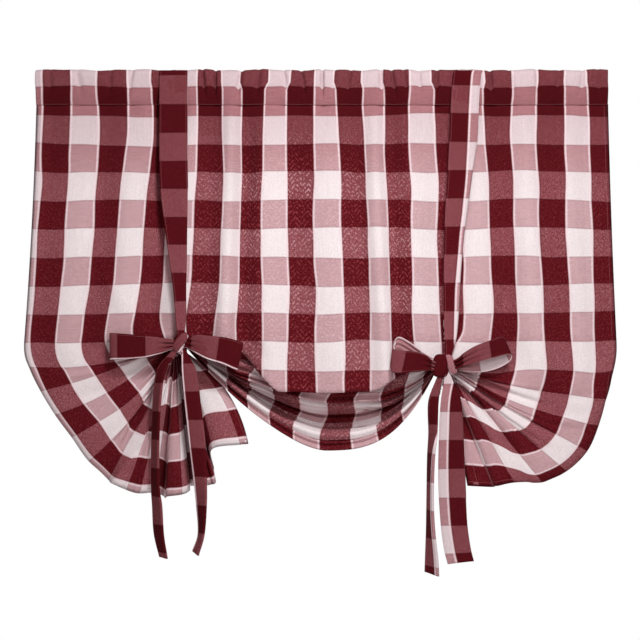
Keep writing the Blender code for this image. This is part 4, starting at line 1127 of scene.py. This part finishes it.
def check_cotton(name, painted_shade_to, wander, wrinkle, flecked):
    """Yarn-dyed twill: maroon and white stripes both ways, crossing as dark, half-tone and pink checks.

    The colours carry painted shade, fullest down to the first of the two places given for it and gone
    past the second. The stripes wander by up to `wander` checks, wrinkles are `wrinkle` millimetres
    deep, and `flecked` is how strong the pale flecks are."""
    material = bpy.data.materials.new(name)
    material.use_nodes = True
    tree = material.node_tree
    shader = tree.nodes["Principled BSDF"]
    cloth = add_node(tree, "ShaderNodeUVMap", uv_map=CLOTH_MAP).outputs[0]
    place = add_node(tree, "ShaderNodeTexCoord").outputs["Object"]
    split = add_node(tree, "ShaderNodeSeparateXYZ", {0: cloth})
    drift = add_node(tree, "ShaderNodeTexNoise", {"Vector": place, "Scale": 6.0, "Detail": 1.5})
    pulled = add_node(tree, "ShaderNodeSeparateXYZ", {0: drift.outputs["Color"]})
    across, down = (
        sum_node(tree, "ADD", split.outputs[axis], spread(tree, pulled.outputs[axis], -wander, wander))
        for axis in "XY")
    from_warp = from_middle(tree, across)
    warp = fading(tree, from_warp, 0.5 - BORDER, 0.5 + BORDER)
    from_weft = from_middle(tree, sum_node(tree, "SUBTRACT", down, FIRST_WEFT))
    weft = fading(tree, from_weft, 0.5 - BORDER, 0.5 + BORDER)

    ends = sum_node(tree, "MULTIPLY", split.outputs["X"], THREADS)
    picks = sum_node(tree, "MULTIPLY", split.outputs["Y"], THREADS)
    herringbone = sum_node(tree, "PINGPONG", sum_node(tree, "FLOOR", ends), HERRINGBONE)
    step = sum_node(tree, "ADD", herringbone, sum_node(tree, "FLOOR", picks))
    weft_up = sum_node(tree, "LESS_THAN", sum_node(tree, "FLOORED_MODULO", step, TWILL), 0.5)

    # Painted shade: full towards the heading's top, none further down the cloth.
    painted_shade = fading(tree, split.outputs["Y"], *painted_shade_to)
    warp_dye, weft_dye, fleck_dye = (crossed(tree, warp, weft, painted_shade, yarn) for yarn in range(3))
    colour = mix_colours(tree, weft_up, warp_dye, weft_dye)
    colour = mix_colours(tree, border_line(tree, from_warp, *PALE_LINE), colour, PALE_BORDER)
    colour = mix_colours(tree, border_line(tree, from_warp, *DEEP_LINE), colour, HUNG_DYES["dark"][0])
    zigzag = chevrons(tree, across, down, place)
    speckle = spread(tree, noise(tree, place, 520.0), *SPECKLE)
    zigzag = sum_node(tree, "MAXIMUM", zigzag, speckle)
    colour = mix_colours(tree, sum_node(tree, "MULTIPLY", zigzag, flecked), colour, fleck_dye)

    lengthways = add_node(tree, "ShaderNodeMapping", {"Vector": cloth, "Scale": LENGTHWAYS})
    sideways = add_node(tree, "ShaderNodeMapping", {"Vector": cloth, "Scale": SIDEWAYS})
    streak = mix_colours(tree, weft, lengthways.outputs[0], sideways.outputs[0])
    slub = noise(tree, streak, 1.0, 3.0)
    cloud = noise(tree, place, 9.0, 3.0)
    fuzz = noise(tree, place, 420.0)
    row_line = border_line(tree, from_weft, *ROW_LINE)
    uneven = sum_node(tree, "SUBTRACT", slub, 0.5)
    shade = sum_node(tree, "MULTIPLY_ADD", uneven, spread(tree, weft, *SLUBBED), 1.0)
    for value, limits in ((cloud, CLOUDED), (fuzz, FUZZED), (row_line, ROW_SHADE)):
        shade = sum_node(tree, "MULTIPLY", shade, spread(tree, value, *limits))
    toned = add_node(tree, "ShaderNodeHueSaturation", {"Color": colour, "Value": shade})
    tree.links.new(toned.outputs[0], shader.inputs["Base Color"])

    crumple = noise(tree, place, 26.0, 4.0, Roughness=0.55)
    fold_bump = add_node(tree, "ShaderNodeBump", {
        "Strength": 0.6, "Distance": wrinkle * MM, "Height": crumple})
    round_end = sum_node(tree, "PINGPONG", ends, 0.5)
    round_pick = sum_node(tree, "PINGPONG", picks, 0.5)
    rounded = sum_node(tree, "ADD", round_end, round_pick)
    relief = sum_node(tree, "ADD", rounded, sum_node(tree, "MULTIPLY", weft_up, TWILL_RELIEF))
    weave_bump = add_node(tree, "ShaderNodeBump", {
        "Strength": 0.5, "Distance": WEAVE_RELIEF * MM, "Height": relief,
        "Normal": fold_bump.outputs[0]})
    tree.links.new(weave_bump.outputs[0], shader.inputs["Normal"])
    tree.links.new(spread(tree, fuzz, *ROUGHNESS), shader.inputs["Roughness"])
    shader.inputs["Specular IOR Level"].default_value = GLOSS
    shader.inputs["Sheen Weight"].default_value = SHEEN
    shader.inputs["Sheen Roughness"].default_value = SHEEN_SPREAD
    shader.inputs["Sheen Tint"].default_value = SHEEN_TINT
    return material


def sewing_thread(name):
    """Spun thread, a shade lighter than the maroon yarn, with its twist."""
    material = bpy.data.materials.new(name)
    material.use_nodes = True
    tree = material.node_tree
    shader = tree.nodes["Principled BSDF"]
    place = add_node(tree, "ShaderNodeTexCoord").outputs["Object"]
    twist = add_node(tree, "ShaderNodeTexWave", {
        "Vector": place, "Scale": 900.0, "Distortion": 1.5}, bands_direction="DIAGONAL").outputs[1]
    faded, full, bright = THREAD_DYES
    dyed = mix_colours(tree, noise(tree, place, 140.0, 2.0), faded, full)
    spun = mix_colours(tree, spread(tree, twist, 0.0, 0.35), dyed, bright)
    tree.links.new(spun, shader.inputs["Base Color"])
    bump = add_node(tree, "ShaderNodeBump", {"Strength": 0.6, "Distance": 0.1 * MM, "Height": twist})
    tree.links.new(bump.outputs[0], shader.inputs["Normal"])
    shader.inputs["Roughness"].default_value = 0.7
    return material


def make_camera():
    """Faces the window straight on, a little below the heading."""
    lens = bpy.data.cameras.new("room_camera")
    lens.sensor_width = SENSOR
    lens.lens = SENSOR * CAMERA_AWAY / (PICTURE_WIDTH * PIXEL)
    camera = bpy.data.objects.new("room_camera", lens)
    camera.location = CAMERA_X, -CAMERA_AWAY, CAMERA_Z
    camera.rotation_euler = math.radians(90), 0, 0
    bpy.context.scene.collection.objects.link(camera)
    bpy.context.scene.camera = camera


def soft_light(name, place, target, size, power):
    lamp = bpy.data.lights.new(name, "AREA")
    lamp.shape = "DISK"
    lamp.size = size
    lamp.energy = power
    obj = bpy.data.objects.new(name, lamp)
    obj.location = place
    obj.rotation_euler = (Vector(target) - Vector(place)).to_track_quat("-Z", "Y").to_euler()
    bpy.context.scene.collection.objects.link(obj)


def make_studio():
    """A pale floor well below the valance, a warm surround seen as white, and soft lamps."""
    floor = bpy.data.meshes.new("studio_floor")
    turns = ((-1, -1), (1, -1), (1, 1), (-1, 1))
    corners = [(x * FLOOR_HALF, y * FLOOR_HALF, FLOOR_Z) for x, y in turns]
    floor.from_pydata(corners, [], [(0, 1, 2, 3)])
    ground = bpy.data.objects.new("studio_floor", floor)
    bpy.context.scene.collection.objects.link(ground)
    paint = bpy.data.materials.new("pale floor paint")
    paint.use_nodes = True
    tree = paint.node_tree
    place = add_node(tree, "ShaderNodeTexCoord").outputs["Object"]
    tone = mix_colours(tree, noise(tree, place, 3.0, 3.0), *FLOOR_PAINTS)
    tree.links.new(tone, tree.nodes["Principled BSDF"].inputs["Base Color"])
    tree.nodes["Principled BSDF"].inputs["Roughness"].default_value = FLOOR_ROUGH
    floor.materials.append(paint)
    world = bpy.data.worlds.new("warm surround")
    bpy.context.scene.world = world
    world.use_nodes = True
    sky = world.node_tree
    back = sky.nodes["Background"]
    back.inputs["Color"].default_value = SURROUND_TINT
    back.inputs["Strength"].default_value = SURROUND
    seen = add_node(sky, "ShaderNodeBackground", {"Color": WHITE, "Strength": 1.0})
    ray = add_node(sky, "ShaderNodeLightPath")
    both = add_node(sky, "ShaderNodeMixShader", {
        0: ray.outputs["Is Camera Ray"], 1: back.outputs[0], 2: seen.outputs[0]})
    sky.links.new(both.outputs[0], sky.nodes["World Output"].inputs["Surface"])
    for name, lamp in LAMPS.items():
        soft_light(name, *lamp)
    bpy.context.scene.view_settings.view_transform = "Standard"


def dressed(piece, node, material):
    piece.data.materials.clear()
    piece.data.materials.append(material)
    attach(piece, "root")
    if node:
        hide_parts(node)
    return piece


make_camera()
make_studio()
# The first pair of numbers for each cotton gives the rows down the cloth over which painted shade
# darkens it towards the top: the heading and upper panel, the ties towards their first ends, and most of
# the knots.
hung_cotton = check_cotton(
    "hung check cotton", painted_shade_to=(0.6, 5.2), wander=0.20, wrinkle=2.4, flecked=0.48)
heading_cotton = check_cotton(
    "gathered heading cotton", painted_shade_to=(0.6, 5.2), wander=0.20, wrinkle=3.0, flecked=0.55)
tie_cotton = check_cotton(
    "pressed tie cotton", painted_shade_to=(-5.0, 17.0), wander=0.06, wrinkle=1.8, flecked=0.22)
knot_cotton = check_cotton(
    "tight knot cotton", painted_shade_to=(-1.0, 11.0), wander=0.10, wrinkle=1.8, flecked=0.22)
thread = sewing_thread("spun maroon thread")
stitches = stitch_tree()

panel, panel_seams = make_panel()
dressed(panel, "panel", hung_cotton)
panel_sewn = stitching("panel_stitching", panel_seams, stitches, thread)
dressed(panel_sewn, None, thread)
pocket, pocket_seams = make_pocket()
dressed(pocket, "rod_pocket", heading_cotton)
pocket_sewn = stitching("heading_stitching", pocket_seams, stitches, thread)
dressed(pocket_sewn, None, thread)
for name, rows in STRIPS.items():
    strip, seams, strip_long = make_strip("sewn_" + name, rows, STRIP_LOOKS[name])
    dressed(strip, name, tie_cotton)
    sewn = dressed(stitching(name + "_stitching", seams, stitches, thread), None, thread)
for name, lobes in KNOT_LOBES.items():
    dressed(make_knot("tied_" + name, lobes), name, knot_cotton)
